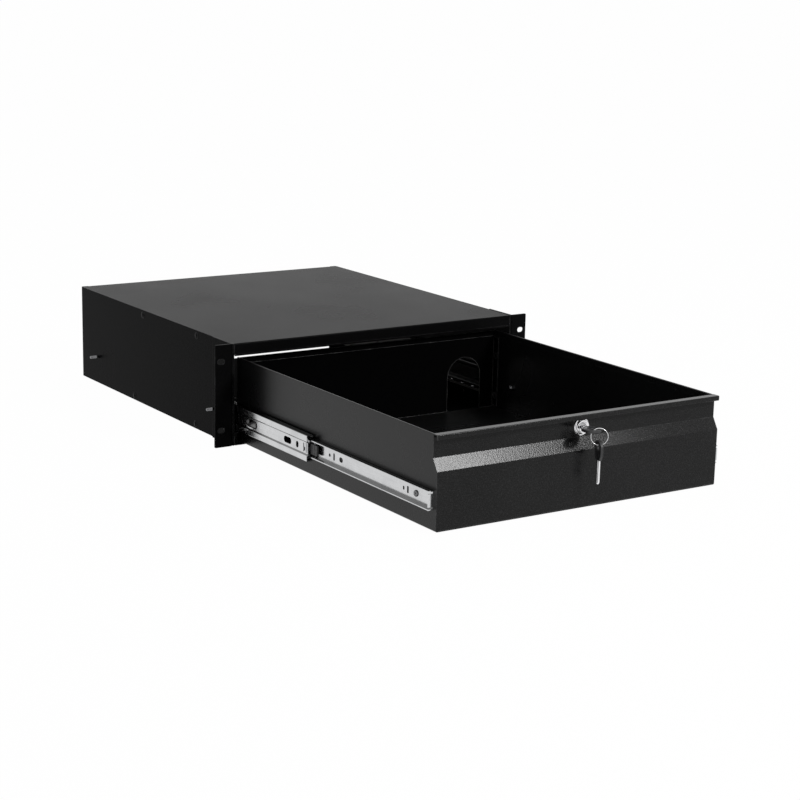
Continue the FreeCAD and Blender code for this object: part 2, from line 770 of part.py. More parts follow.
def drawer_tray():
    """Floor and side walls of the drawer, with the top edges folded in."""
    body = new_body("drawer_tray")
    side, top, low, gauge = DRAWER_SIDE, d.drawer_top, d.tray_bottom, d.tray_sheet
    inside, fold = side - gauge, side - gauge * 2
    right = [(side, low), (side, top), (fold, top), (fold, top - d.hem),
             (inside, top - d.hem), (inside, low + gauge)]
    left = [(-across, up) for across, up in reversed(right)]
    profile = new_sketch(body, "tray_profile", "XZ_Plane", -d.drawer_rear)
    draw_polygon(profile, right + left)
    front = d.drawer_front + d.panel_sheet
    pad(body, profile, d.drawer_rear - d.drawer_front)
    round_edges(body, "tray_bends", 1, [(side, low), (-side, low)], BEND_OUT)
    round_edges(body, "tray_bends_inside", 1, [(inside, low + gauge), (-inside, low + gauge)],
                d.bend)
    round_edges(body, "hem_rounding", 1,
                [(side, top), (fold, top), (-side, top), (-fold, top)], gauge * 0.8)
    shift = bend_shift()
    nose = new_sketch(body, "tray_nose", "YZ_Plane", side + 1)
    draw_polygon(nose, [
        (front - 2, low + gauge), (front, low + gauge), (front, d.band_low - shift),
        (front + d.panel_recess, d.band_high - shift), (front + d.panel_recess, top + 1),
        (front - 2, top + 1)])
    pocket(body, nose, side * 2 + 2)
    for name, start in (("right", side + 1), ("left", 1 - inside)):
        holes = new_sketch(body, "tray_holes_" + name, "YZ_Plane", start)
        for place in (d.drawer_screw_front, d.drawer_screw_rear):
            draw_circle(holes, (place, d.slide_height), d.screw_hole)
        for height in (d.corner_rivet_high, d.corner_rivet_low):
            draw_circle(holes, (d.drawer_rear - d.corner_rivet_inset, height), d.rivet_shank)
        pocket(body, holes, gauge + 2)
    return body


def drawer_rear_wall():
    """Rear wall of the drawer, with two cable arches and riveted side flanges."""
    body = new_body("drawer_rear_wall")
    gauge, inside = d.tray_sheet, DRAWER_SIDE - d.tray_sheet
    floor, rear = d.tray_bottom + gauge, d.drawer_rear
    hem_side, top = inside - gauge, d.drawer_top - d.rear_wall_drop
    wall = new_sketch(body, "rear_wall_plate", "XZ_Plane", -rear)
    draw_polygon(wall, [
        (-inside, floor + d.bend), (d.bend - inside, floor), (inside - d.bend, floor),
        (inside, floor + d.bend), (inside, d.drawer_top - d.hem),
        (hem_side, d.drawer_top - d.hem), (hem_side, top),
        (-hem_side, top), (-hem_side, d.drawer_top - d.hem),
        (-inside, d.drawer_top - d.hem)])
    pad(body, wall, gauge)
    for side_name, side in SIDES.items():
        low_x, high_x = span(inside * side, (inside - gauge) * side)
        block(body, "wall_flange_" + side_name,
              (low_x, rear - d.rear_wall_flange, floor + 2),
              (high_x, rear - gauge / 2, d.drawer_top - d.hem - 2))
        arch = new_sketch(body, "wall_arch_" + side_name, "XZ_Plane", -rear - 1)
        draw_arch(arch, d.arch_centre * side, floor - 1, d.arch_width, d.arch_top)
        pocket(body, arch, gauge + 3, reverse=True)
    fold = new_sketch(body, "wall_top_fold", "XZ_Plane", gauge - rear)
    draw_rectangle(fold, (-hem_side, d.drawer_top - d.hem), (hem_side, top))
    pad(body, fold, gauge)
    holes = new_sketch(body, "wall_rivet_holes", "YZ_Plane", DRAWER_SIDE)
    for height in (d.corner_rivet_high, d.corner_rivet_low):
        draw_circle(holes, (rear - d.corner_rivet_inset, height), d.rivet_shank)
    pocket(body, holes, d.drawer_width)
    return body


def drawer_front_panel():
    """Front of the drawer: slanted band, lower face, foot and side returns."""
    body = new_body("drawer_front_panel")
    front, gauge = d.drawer_front, d.panel_sheet
    recess, foot = front + d.panel_recess, front + d.panel_foot
    low, shift = d.tray_bottom + d.tray_sheet, bend_shift()
    profile = new_sketch(body, "panel_profile", "YZ_Plane", -DRAWER_SIDE)
    draw_polygon(profile, [
        (front, low), (front, d.band_low), (recess, d.band_high),
        (recess + gauge, d.band_high - shift),
        (front + gauge, d.band_low - shift), (front + gauge, low + gauge),
        (foot, low + gauge), (foot, low)])
    pad(body, profile, d.drawer_width)
    foot_ends(body, low, foot)
    for side_name, side in SIDES.items():
        edge = DRAWER_SIDE - d.tray_sheet
        low_x, high_x = span(edge * side, (edge - gauge) * side)
        block(body, "panel_return_" + side_name,
              (low_x, front + gauge / 2, low + gauge + 1.5),
              (high_x, front + d.panel_return, d.band_low - 2))
    return body


def drawer_lock_rail():
    """Recessed upright rail above the slanted band, bored for the lock."""
    body = new_body("drawer_lock_rail")
    gauge, top = d.panel_sheet, d.drawer_top
    recess, shift = d.drawer_front + d.panel_recess, bend_shift()
    profile = new_sketch(body, "rail_profile", "YZ_Plane", -DRAWER_SIDE)
    draw_polygon(profile, [
        (recess, d.band_high), (recess, top - gauge), (recess + gauge, top - gauge),
        (recess + gauge, d.band_high - shift)])
    pad(body, profile, d.drawer_width)
    hole = new_sketch(body, "lock_hole", "XZ_Plane", -recess + 2)
    draw_circle(hole, (ZERO, d.lock_height), d.lock_body + 0.1)
    pocket(body, hole, gauge + 4, reverse=False)
    return body


def foot_ends(body, low, foot):
    """Cut the ends of the panel's foot back to the inside of the tray."""
    inside = DRAWER_SIDE - d.tray_sheet - d.bend
    for side_name, side in SIDES.items():
        low_x, high_x = span((DRAWER_SIDE + 1) * side, inside * side)
        sketch = new_sketch(body, "foot_end_" + side_name, "XY_Plane", low + d.panel_sheet + 0.6)
        draw_rectangle(sketch, (low_x, d.drawer_front + d.panel_sheet), (high_x, foot + 1))
        pocket(body, sketch, d.panel_sheet + 1.6)


def drawer_front_lip():
    """Finger lip along the top of the front, folded forwards and down."""
    body = new_body("drawer_front_lip")
    front, gauge, top = d.drawer_front, d.panel_sheet, d.drawer_top
    rear = front + d.panel_recess + gauge
    profile = new_sketch(body, "lip_profile", "YZ_Plane", -DRAWER_SIDE)
    draw_polygon(profile, [
        (front, top - d.lip_drop), (front, top), (rear, top), (rear, top - gauge),
        (front + gauge * 2, top - gauge), (front + gauge * 2, top - d.lip_drop)])
    pad(body, profile, d.drawer_width)
    round_edges(body, "lip_rounding", 0,
                [(front, top), (front, top - d.lip_drop),
                 (front + gauge * 2, top - d.lip_drop)], gauge * 0.9)
    return body


# ---------------------------------------------------------------------------
# Lock and keys
# ---------------------------------------------------------------------------

RECESS = d.drawer_front + d.panel_recess


def turned(body, name, front, length, radius):
    """A round length of a lock part, from its front face backwards."""
    sketch = new_sketch(body, name, "XZ_Plane", -front - length)
    draw_circle(sketch, (ZERO, d.lock_height), radius)
    return pad(body, sketch, length)


def bored(body, name, front, length, radius):
    """A round bore along a lock part, from its front face backwards."""
    sketch = new_sketch(body, name, "XZ_Plane", -front - length)
    draw_circle(sketch, (ZERO, d.lock_height), radius)
    return pocket(body, sketch, length, reverse=True)


def draw_hexagon(sketch, centre, width):
    """A hexagon with its flats upright, by its width across flats."""
    reach = width / math.sqrt(3)
    corners = []
    for index in range(6):
        angle = math.radians(60 * index + 30)
        corners.append((centre[0] + reach * math.cos(angle), centre[1] + reach * math.sin(angle)))
    draw_polygon(sketch, corners)


def lock_housing():
    """Cylinder lock housing: flange on the panel, head in front, barrel behind."""
    body = new_body("lock_housing")
    face = RECESS - d.lock_flange_height
    turned(body, "housing_flange", face, d.lock_flange_height, d.lock_flange)
    turned(body, "housing_head", face - d.lock_head_height, d.lock_head_height, d.lock_head)
    turned(body, "housing_barrel", RECESS, d.lock_rear - RECESS, d.lock_body)
    front = face - d.lock_head_height
    bored(body, "housing_bore", front - 1, d.lock_rear - front + 2, d.lock_bore)
    rim = body.Tip
    circles = []
    for number, edge in enumerate(rim.Shape.Edges, start=1):
        if edge.Curve.TypeId != "Part::GeomCircle":
            continue
        on_front = abs(edge.Curve.Center.y - front.value) < 1e-3
        if on_front and abs(edge.Curve.Radius - d.lock_head.value) < 1e-3:
            circles.append("Edge%d" % number)
    chamfer = body.newObject("PartDesign::Fillet", "head_rounding")
    chamfer.Base = (rim, circles)
    chamfer.setExpression("Radius", d.lock_edge.text)
    doc.recompute()
    return body


def lock_plug():
    """Turning core of the lock, with the keyway and the tail that drives the cam."""
    body = new_body("lock_plug")
    rear = d.lock_rear + d.cam_gap
    turned(body, "plug_core", d.plug_front, rear - d.plug_front, d.plug_radius)
    turned(body, "plug_tail", rear, d.tail_length, d.tail_radius)
    keyway = new_sketch(body, "keyway", "XZ_Plane", 1 - d.plug_front)
    half_width, half_height = d.keyway_width / 2, d.keyway_height / 2
    draw_rectangle(keyway, (-half_width, d.lock_height - half_height),
                   (half_width, d.lock_height + half_height))
    pocket(body, keyway, d.keyway_end - d.plug_front + 1)
    return body


def lock_cam():
    """Flat cam that turns up behind the header when the lock is closed."""
    body = new_body("lock_cam")
    front = d.lock_rear + d.cam_gap
    plate = new_sketch(body, "cam_outline", "XZ_Plane", -front - d.cam_sheet)
    half, tip, height = d.cam_half, d.cam_tip_half, d.lock_height
    draw_polygon(plate, [
        (-half, height - half), (half, height - half), (d.cam_reach, height - tip),
        (d.cam_reach, height + tip), (half, height + half), (-half, height + half)])
    pad(body, plate, d.cam_sheet)
    round_edges(body, "cam_heel", 1, [(-half, height - half), (-half, height + half)], half * 0.6)
    round_edges(body, "cam_tip", 1,
                [(d.cam_reach, height - tip), (d.cam_reach, height + tip)], tip * 0.5)
    bored(body, "cam_bore", front - 1, d.cam_sheet + 2, d.tail_radius + 0.05)
    return body


def hex_nut(name, front, length, width, bore):
    """Hexagon nut on the lock's axis."""
    body = new_body(name)
    sketch = new_sketch(body, name + "_hexagon", "XZ_Plane", -front - length)
    draw_hexagon(sketch, (ZERO, d.lock_height), width)
    pad(body, sketch, length)
    bored(body, name + "_bore", front - 1, length + 2, bore)
    return body


def key_bow(name):
    """Plastic key head, made flat with its blade side on the X axis."""
    body = new_body(name)
    half, neck, long = d.bow_width / 2, d.bow_neck / 2, d.bow_length
    outline = new_sketch(body, name + "_outline", "XY_Plane", -d.bow_sheet / 2)
    draw_polygon(outline, [
        (neck, ZERO), (half, -long * 0.3), (half, -long), (-half, -long),
        (-half, -long * 0.3), (-neck, ZERO)])
    pad(body, outline, d.bow_sheet)
    round_edges(body, name + "_end", 2, [(half, -long), (-half, -long)], half * 0.7)
    round_edges(body, name + "_shoulders", 2, [(half, -long * 0.3), (-half, -long * 0.3)],
                half * 0.4)
    hole = new_sketch(body, name + "_hole", "XY_Plane", d.bow_sheet)
    draw_circle(hole, (ZERO, d.bow_hole_inset - long), d.bow_hole)
    pocket(body, hole, d.bow_sheet * 2)
    return body


def key_blade(name):
    """Flat steel key blade with cuts along one edge."""
    body = new_body(name)
    half, long = d.blade_width / 2, d.blade_length
    outline = new_sketch(body, name + "_outline", "XY_Plane", -d.blade_sheet / 2)
    corners = [(-half, ZERO), (-half, long - 3), (-half / 3, long), (half / 3, long),
               (half, long - 3)]
    for index, depth in enumerate(KEY_CUT_DEPTHS):
        bottom = long - KEY_TIP - KEY_CUT_PITCH * index
        corners.append((half - depth, bottom))
        corners.append((half - depth, bottom - KEY_CUT_FLAT))
    corners.append((half, long - KEY_SHOULDER))
    corners.append((half, ZERO))
    draw_polygon(outline, corners)
    pad(body, outline, d.blade_sheet)
    return body


RING_LOW = d.ring_height - d.ring_radius
SPARE_HOLE = RING_LOW - d.spare_hole_drop


def key_in_lock_place():
    """The working key lies flat, its blade pointing back into the lock."""
    return Placement(Vector(0, d.key_front.value, d.lock_height.value), Rotation())


def spare_key_place():
    """The spare key hangs from the ring, blade down, turned about the upright."""
    hang = Rotation(Vector(1, 0, 0), -90)
    stand = Rotation(Vector(0, 0, 1), 90 - d.spare_turn.value)
    shoulder = SPARE_HOLE + d.bow_hole_inset - d.bow_length
    point = Vector(d.ring_x.value, d.ring_y.value, shoulder.value)
    return Placement(point, stand * hang)


def key_ring():
    """Round wire ring through the holes of both key heads."""
    ring = doc.addObject("Part::Torus", "key_ring")
    ring.Label = "key_ring"
    ring.setExpression("Radius1", d.ring_radius.text)
    ring.setExpression("Radius2", d.ring_wire.text)
    upright = Rotation(Vector(1, 0, 0), 90)
    turn = Rotation(Vector(0, 0, 1), -d.ring_turn.value)
    centre = Vector(d.ring_x.value, d.ring_y.value, d.ring_height.value)
    ring.Placement = Placement(centre, turn * upright)
    return ring


# ---------------------------------------------------------------------------
# Fasteners: identical loose solids grouped in one node
# ---------------------------------------------------------------------------


def cylinder(radius, length, start, direction):
    """A plain solid cylinder from a start point along a direction."""
    return Part.makeCylinder(radius.value, length.value, start, direction)


def slide_mount_screws():
    """Screws from inside each outer slide, with their tips standing out of the side."""
    solids = []
    for side in SIDES.values():
        for place in (d.chassis_screw_front, d.chassis_screw_rear):
            outward = Vector(side, 0, 0)
            seat = Vector(((INSIDE - d.slide_sheet) * side).value, place.value,
                          d.slide_height.value)
            shank = cylinder(d.screw_radius, d.slide_sheet + d.side_sheet + d.screw_tip,
                             seat, outward)
            head = cylinder(d.screw_head, d.screw_head_height, seat, -outward)
            solids.append(shank.fuse(head))
    return group("slide_mount_screws", solids)


def drawer_slide_screws():
    """Screws from inside each drawer member through the drawer's side wall."""
    solids = []
    reach = d.slide_sheet + d.tray_sheet + d.nut_height + 1
    for side in SIDES.values():
        for place in (d.drawer_screw_front, d.drawer_screw_rear):
            inward = Vector(-side, 0, 0)
            seat = Vector(((INSIDE - d.slide_width + d.slide_sheet) * side).value, place.value,
                          d.slide_height.value)
            shank = cylinder(d.screw_radius, reach, seat, inward)
            head = cylinder(d.screw_head, d.screw_head_height, seat, -inward)
            solids.append(shank.fuse(head))
    return group("drawer_slide_screws", solids)


def drawer_slide_nuts():
    """Hexagon nuts on the drawer screws, inside the drawer."""
    solids = []
    reach = d.nut_width.value / math.sqrt(3)
    for side in SIDES.values():
        wall = (DRAWER_SIDE - d.tray_sheet).value * side
        for place in (d.drawer_screw_front, d.drawer_screw_rear):
            corners = []
            for index in range(7):
                angle = math.radians(60 * index)
                corners.append(Vector(wall, place.value + reach * math.cos(angle),
                                      d.slide_height.value + reach * math.sin(angle)))
            prism = Part.Face(Part.makePolygon(corners)).extrude(
                Vector(-side * d.nut_height.value, 0, 0))
            bore = cylinder(d.screw_hole, d.nut_height + 2,
                            Vector(wall + side, place.value, d.slide_height.value),
                            Vector(-side, 0, 0))
            solids.append(prism.cut(bore))
    return group("drawer_slide_nuts", solids)


def rivet(seat, outward, grip):
    """A blind rivet: low domed head outside and a plain shank through the sheets."""
    shank = cylinder(d.rivet_shank - 0.02, grip, seat, -outward)
    head = Part.makeCone(d.rivet_head.value, d.rivet_head.value * 0.6,
                         d.rivet_head_height.value, seat, outward)
    return shank.fuse(head)


def chassis_rivets():
    """Rivets that hold the cover and the bottom to the sides."""
    solids = []
    rows = ((d.top_rivet_height, (d.top_rivet_one, d.top_rivet_two)),
            (d.low_rivet_height, (d.low_rivet_one, d.low_rivet_two)))
    for side in SIDES.values():
        outward = Vector(side, 0, 0)
        for height, places in rows:
            for place in places:
                seat = Vector(WALL.value * side, place.value, height.value)
                solids.append(rivet(seat, outward, d.side_sheet + d.cover_sheet + 1))
        seat = Vector((WALL - d.back_rivet_inset).value * side, d.body_rear.value,
                      d.back_rivet_height.value)
        solids.append(rivet(seat, Vector(0, 1, 0), d.side_sheet + d.cover_sheet + 1))
    return group("chassis_rivets", solids)


def drawer_rivets():
    """Rivets that hold the drawer's rear wall to its sides."""
    solids = []
    for side in SIDES.values():
        for height in (d.corner_rivet_high, d.corner_rivet_low):
            seat = Vector((DRAWER_SIDE - d.tray_sheet * 2).value * side,
                          (d.drawer_rear - d.corner_rivet_inset).value, height.value)
            solids.append(rivet(seat, Vector(-side, 0, 0), d.tray_sheet * 2 + 0.6))
    return group("drawer_rivets", solids)


# ---------------------------------------------------------------------------
# Assembly
# ---------------------------------------------------------------------------


def build():
    """Make every piece and return the finished objects."""
    pieces = [top_cover(), bottom_panel()]
    for name, side in SIDES.items():
        pieces.append(side_panel(name + "_side_panel", side))
        pieces.append(rack_ear(name + "_rack_ear", side))
        pieces.append(outer_slide(name + "_outer_slide", side))
        pieces.append(intermediate_slide(name + "_intermediate_slide", side))
        pieces.append(inner_slide(name + "_inner_slide", side))
        pieces.append(ball_cage(name + "_outer_ball_cage", side, d.outer_cage_front,
                                d.outer_cage_start, d.outer_cage_end,
                                d.outer_ball_row, d.outer_ball, d.outer_ball_depth))
        pieces.append(balls(name + "_outer_balls", side, d.outer_cage_front,
                            d.outer_ball_row, d.outer_ball, d.outer_ball_depth))
        pieces.append(ball_cage(name + "_inner_ball_cage", side, d.inner_cage_front,
                                d.inner_cage_start, d.inner_cage_end,
                                d.inner_ball_row, d.inner_ball, d.inner_ball_depth))
        pieces.append(balls(name + "_inner_balls", side, d.inner_cage_front,
                            d.inner_ball_row, d.inner_ball, d.inner_ball_depth))
        pieces.append(release_lever(name + "_release_lever", side))
    pieces += [drawer_tray(), drawer_rear_wall(), drawer_front_panel(), drawer_lock_rail(),
               drawer_front_lip()]
    pieces += [slide_mount_screws(), drawer_slide_screws(), drawer_slide_nuts()]
    pieces += [chassis_rivets(), drawer_rivets()]
    pieces += [lock_housing(), lock_plug(), lock_cam()]
    pieces.append(hex_nut("lock_nut", RECESS + d.panel_sheet, d.lock_nut_height,
                          d.lock_nut_width, d.lock_body + 0.05))
    cam_back = d.lock_rear + d.cam_gap + d.cam_sheet
    pieces.append(hex_nut("cam_nut", cam_back, d.cam_nut_height, d.cam_nut_width,
                          d.tail_radius + 0.05))
    for owner, place in (("lock_key", key_in_lock_place()), ("spare_key", spare_key_place())):
        for piece in (key_bow(owner + "_bow"), key_blade(owner + "_blade")):
            piece.Placement = place
            pieces.append(piece)
    pieces.append(key_ring())
    return pieces


def export(pieces):
    """Check the document and every piece, then write one STEP file per piece."""
    doc.recompute()
    for item in doc.Objects:
        if "Invalid" in item.State or "Error" in item.State:
            raise RuntimeError("%s did not compute: %s" % (item.Label, item.State))
    os.makedirs("parts", exist_ok=True)
    for piece in pieces:
        shape = piece.Shape
        if shape.isNull() or not shape.isValid() or not shape.Solids:
            raise RuntimeError("%s has no valid solid" % piece.Label)
        shape.exportStep(os.path.join("parts", piece.Label + ".step"))
        print("%-28s %3d solids %9.0f mm3" % (piece.Label, len(shape.Solids), shape.Volume))


export(build())
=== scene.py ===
"""Looks of a sliding rack drawer: powder-coated sheet, plated slides, lock and keys."""
from __future__ import annotations

import logging
import math
from dataclasses import dataclass, field
from enum import Enum
from typing import Any, Callable, Iterable, Sequence

import bmesh
import bpy
from mathutils import Matrix, Vector


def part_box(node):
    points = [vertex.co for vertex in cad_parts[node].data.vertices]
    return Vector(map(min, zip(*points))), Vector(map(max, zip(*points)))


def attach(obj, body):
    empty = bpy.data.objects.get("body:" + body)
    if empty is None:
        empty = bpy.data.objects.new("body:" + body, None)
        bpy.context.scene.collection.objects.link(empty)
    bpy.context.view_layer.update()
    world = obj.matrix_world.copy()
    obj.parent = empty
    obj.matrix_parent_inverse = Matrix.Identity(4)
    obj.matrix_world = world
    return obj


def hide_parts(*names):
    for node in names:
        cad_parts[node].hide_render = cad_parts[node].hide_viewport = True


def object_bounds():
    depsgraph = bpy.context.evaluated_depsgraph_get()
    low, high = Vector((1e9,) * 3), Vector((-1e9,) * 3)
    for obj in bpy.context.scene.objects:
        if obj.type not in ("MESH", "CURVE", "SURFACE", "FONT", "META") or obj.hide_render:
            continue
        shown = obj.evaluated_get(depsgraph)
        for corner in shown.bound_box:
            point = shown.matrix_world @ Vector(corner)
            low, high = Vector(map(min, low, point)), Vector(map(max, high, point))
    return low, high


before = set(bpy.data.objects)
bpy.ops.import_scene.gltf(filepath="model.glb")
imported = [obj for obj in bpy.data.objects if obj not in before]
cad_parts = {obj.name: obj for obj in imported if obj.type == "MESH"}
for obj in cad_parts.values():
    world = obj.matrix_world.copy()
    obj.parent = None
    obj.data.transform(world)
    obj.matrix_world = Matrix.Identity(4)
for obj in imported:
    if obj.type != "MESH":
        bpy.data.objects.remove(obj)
CAD_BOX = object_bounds()

LOG = logging.getLogger("rack_drawer")
Triple = tuple[float, float, float]
MM = 0.001
NEAR = 1e-6   # metres within which two places count as one when edges are picked
WELD = 1e-7   # metres within which vertices are merged
SEAM = 2e-6   # the same for a CAD node, whose faces meet less closely

# sockets of the Mix node when it blends colours
MIX_FACTOR, MIX_FIRST, MIX_SECOND, MIX_RESULT = 0, 6, 7, 2


class Side(Enum):
    """Which side of the drawer a part sits on, by the sign of X."""

    LEFT = -1
    RIGHT = 1


# --------------------------------------------------------------------------
# Shader maths
# --------------------------------------------------------------------------


class Value:
    """A node socket that can be used in Python arithmetic."""

    def __init__(self, nodes: "Nodes", socket: bpy.types.NodeSocket) -> None:
        """Hold a socket and the tree it belongs to."""
        self.nodes = nodes
        self.socket = socket

    def _math(self, operation: str, *others: Any, **settings: Any) -> "Value":
        """Add a Math node fed by this socket and others."""
        return self.nodes.math(operation, self, *others, **settings)

    def __add__(self, other: Any) -> "Value":
        """Sum."""
        return self._math("ADD", other)

    def __radd__(self, other: Any) -> "Value":
        """Sum, reflected."""
        return self._math("ADD", other)

    def __sub__(self, other: Any) -> "Value":
        """Difference."""
        return self._math("SUBTRACT", other)

    def __rsub__(self, other: Any) -> "Value":
        """Difference, reflected."""
        return self.nodes.math("SUBTRACT", other, self)

    def __mul__(self, other: Any) -> "Value":
        """Product."""
        return self._math("MULTIPLY", other)

    def __rmul__(self, other: Any) -> "Value":
        """Product, reflected."""
        return self._math("MULTIPLY", other)

    def __pow__(self, other: Any) -> "Value":
        """Power."""
        return self._math("POWER", other)

    def clamp(self) -> "Value":
        """The value held between 0 and 1."""
        return self._math("ADD", 0.0, use_clamp=True)


class Nodes:
    """One material's node tree and the few ways of adding to it."""

    def __init__(self, name: str) -> None:
        """Start a new material with a Principled shader."""
        self.material = bpy.data.materials.new(name)
        self.material.use_nodes = True
        self.tree = self.material.node_tree
        self.shader = self.tree.nodes["Principled BSDF"]

    def add(self, kind: str, settings: dict[str, Any] | None = None,
            **sockets: Any) -> bpy.types.Node:
        """Add any node.

        Args:
            kind: Node type identifier.
            settings: Properties of the node, set before its sockets.
            **sockets: Values or links by socket name, with _ for a space.

        Returns:
            The new node.
        """
        node = self.tree.nodes.new(kind)
        for key, value in (settings or {}).items():
            setattr(node, key, value)
        for key, value in sockets.items():
            self.feed(node.inputs[key.replace("_", " ")], value)
        return node

    def feed(self, target: bpy.types.NodeSocket, value: Any) -> None:
        """Set or link one input socket."""
        if isinstance(value, Value):
            self.tree.links.new(value.socket, target)
        else:
            target.default_value = value

    def math(self, operation: str, *values: Any, use_clamp: bool = False) -> Value:
        """Add a Math node over values or numbers."""
        node = self.add("ShaderNodeMath", {"operation": operation, "use_clamp": use_clamp})
        for socket, value in zip(node.inputs, values):
            self.feed(socket, value)
        return Value(self, node.outputs[0])

    def place(self, scale: Triple = (1.0, 1.0, 1.0), turn: Triple = (0.0, 0.0, 0.0)) -> Value:
        """Object coordinates through a Mapping node."""
        coordinates = self.add("ShaderNodeTexCoord")
        mapping = self.add("ShaderNodeMapping", None, Scale=scale, Rotation=turn,
                           Vector=Value(self, coordinates.outputs["Object"]))
        return Value(self, mapping.outputs[0])

    def noise(self, scale: float, detail: float = 2.0, stretch: Triple = (1.0, 1.0, 1.0),
              roughness: float = 0.5) -> Value:
        """Noise between 0 and 1 at a number of features to the metre."""
        node = self.add("ShaderNodeTexNoise", None, Vector=self.place(stretch), Scale=scale,
                        Detail=detail, Roughness=roughness)
        return Value(self, node.outputs["Fac"])

    def cells(self, scale: float, smooth: float = 0.6) -> Value:
        """Rounded pebbles, as in a textured powder coat."""
        node = self.add("ShaderNodeTexVoronoi", {"feature": "SMOOTH_F1"}, Vector=self.place(),
                        Scale=scale, Smoothness=smooth)
        return Value(self, node.outputs["Distance"])

    def ramp(self, value: Value, low: float, high: float) -> Value:
        """Stretch a value so that low becomes 0 and high becomes 1."""
        node = self.add("ShaderNodeMapRange", {"clamp": True}, Value=value)
        node.inputs["From Min"].default_value = low
        node.inputs["From Max"].default_value = high
        return Value(self, node.outputs[0])

    def blend(self, factor: Any, first: Value | Triple, second: Value | Triple) -> Value:
        """Blend two colours, given or worked out, by a factor."""
        node = self.add("ShaderNodeMix", {"data_type": "RGBA"})
        self.feed(node.inputs[MIX_FACTOR], factor)
        for socket, colour in ((MIX_FIRST, first), (MIX_SECOND, second)):
            given = colour if isinstance(colour, Value) else (*colour, 1.0)
            self.feed(node.inputs[socket], given)
        return Value(self, node.outputs[MIX_RESULT])

    def bump(self, height: Value, distance: float, strength: float = 1.0) -> Value:
        """A normal from a height in metres."""
        node = self.add("ShaderNodeBump", None, Height=height)
        node.inputs["Distance"].default_value = distance
        node.inputs["Strength"].default_value = strength
        return Value(self, node.outputs[0])

    def edges(self, radius: float) -> Value:
        """About 1 along sharp outer edges and 0 on flat faces."""
        bevel = self.add("ShaderNodeBevel", {"samples": 6}, Radius=radius)
        geometry = self.add("ShaderNodeNewGeometry")
        dot = self.add("ShaderNodeVectorMath", {"operation": "DOT_PRODUCT"})
        self.feed(dot.inputs[0], Value(self, bevel.outputs[0]))
        self.feed(dot.inputs[1], Value(self, geometry.outputs["Normal"]))
        return self.ramp(1.0 - Value(self, dot.outputs["Value"]), 0.02, 0.25)

    def level_faces(self) -> Value:
        """About 1 on faces that look up or down and 0 on upright ones."""
        geometry = self.add("ShaderNodeNewGeometry")
        parts = self.add("ShaderNodeSeparateXYZ")
        self.feed(parts.inputs[0], Value(self, geometry.outputs["True Normal"]))
        upright = self.math("ABSOLUTE", Value(self, parts.outputs[2]))
        return self.ramp(upright, 0.25, 0.7)

    def inward_faces(self) -> Value:
        """1 on faces that look towards the object's middle plane and 0 on the others."""
        geometry = self.add("ShaderNodeNewGeometry")
        sides = []
        for vector in (Value(self, geometry.outputs["True Normal"]), self.place()):
            parts = self.add("ShaderNodeSeparateXYZ")
            self.feed(parts.inputs[0], vector)
            sides.append(self.math("SIGN", Value(self, parts.outputs[0])))
        return (sides[0] * sides[1] * -1.0).clamp()

    def finish(self, **sockets: Any) -> bpy.types.Material:
        """Feed the Principled shader and hand back the material."""
        for key, value in sockets.items():
            self.feed(self.shader.inputs[key.replace("_", " ")], value)
        return self.material


def seen_rays(tree: bpy.types.NodeTree) -> bpy.types.NodeSocket:
    """1 for rays from the camera, a reflection or clear glass, and 0 for the rest.

    Args:
        tree: Node tree to add the nodes to.

    Returns:
        The socket that says so.
    """
    rays = tree.nodes.new("ShaderNodeLightPath")
    seen = rays.outputs["Is Camera Ray"]
    for kind in ("Is Transmission Ray", "Is Glossy Ray"):
        either = tree.nodes.new("ShaderNodeMath")
        either.operation = "MAXIMUM"
        tree.links.new(seen, either.inputs[0])
        tree.links.new(rays.outputs[kind], either.inputs[1])
        seen = either.outputs[0]
    return seen


# --------------------------------------------------------------------------
# Finishes
# --------------------------------------------------------------------------


@dataclass(frozen=True)
class PowderCoat:
    """Black textured powder coat on sheet steel."""

    name: str
    dark: Triple = (0.0018, 0.0018, 0.0019)
    light: Triple = (0.0042, 0.0042, 0.0044)
    # edge colour: partly wear, partly a painted highlight on edges that catch the light
    wear_and_highlight: Triple = (0.09, 0.09, 0.092)
    roughness: float = 0.26
    pebble: float = 620.0
    relief: float = 0.00009
    peel: float = 1.0
    index: float = 1.062
    cloud_scale: float = 9.0
    patch_scale: float = 70.0
    wear_and_highlight_width: float = 0.001

    def material(self) -> bpy.types.Material:
        """Build the material."""
        nodes = Nodes(self.name)
        pebbles = (nodes.cells(self.pebble) * 1.4) ** self.peel
        grain = nodes.noise(self.pebble * 1.9, detail=2.0)
        cloud = nodes.noise(self.cloud_scale, detail=3.0)
        height = pebbles * 0.6 + grain * 0.3
        patches = nodes.ramp(nodes.noise(self.patch_scale, 3.0), 0.4, 0.62)
        # lighter sharp edges, in patches: wear together with a painted edge highlight
        wear_and_highlight_edges = nodes.edges(self.wear_and_highlight_width) * (patches * 0.65 + 0.35)
        tone = nodes.ramp(height * 0.8 + cloud * 0.3, 0.25, 0.85)
        colour = nodes.blend(tone, self.dark, self.light)
        return nodes.finish(
            Base_Color=nodes.blend(wear_and_highlight_edges * 0.7, colour, self.wear_and_highlight),
            Roughness=(self.roughness + (cloud - 0.5) * 0.1 - wear_and_highlight_edges * 0.08).clamp(),
            IOR=self.index, Normal=nodes.bump(height, self.relief, 0.8))


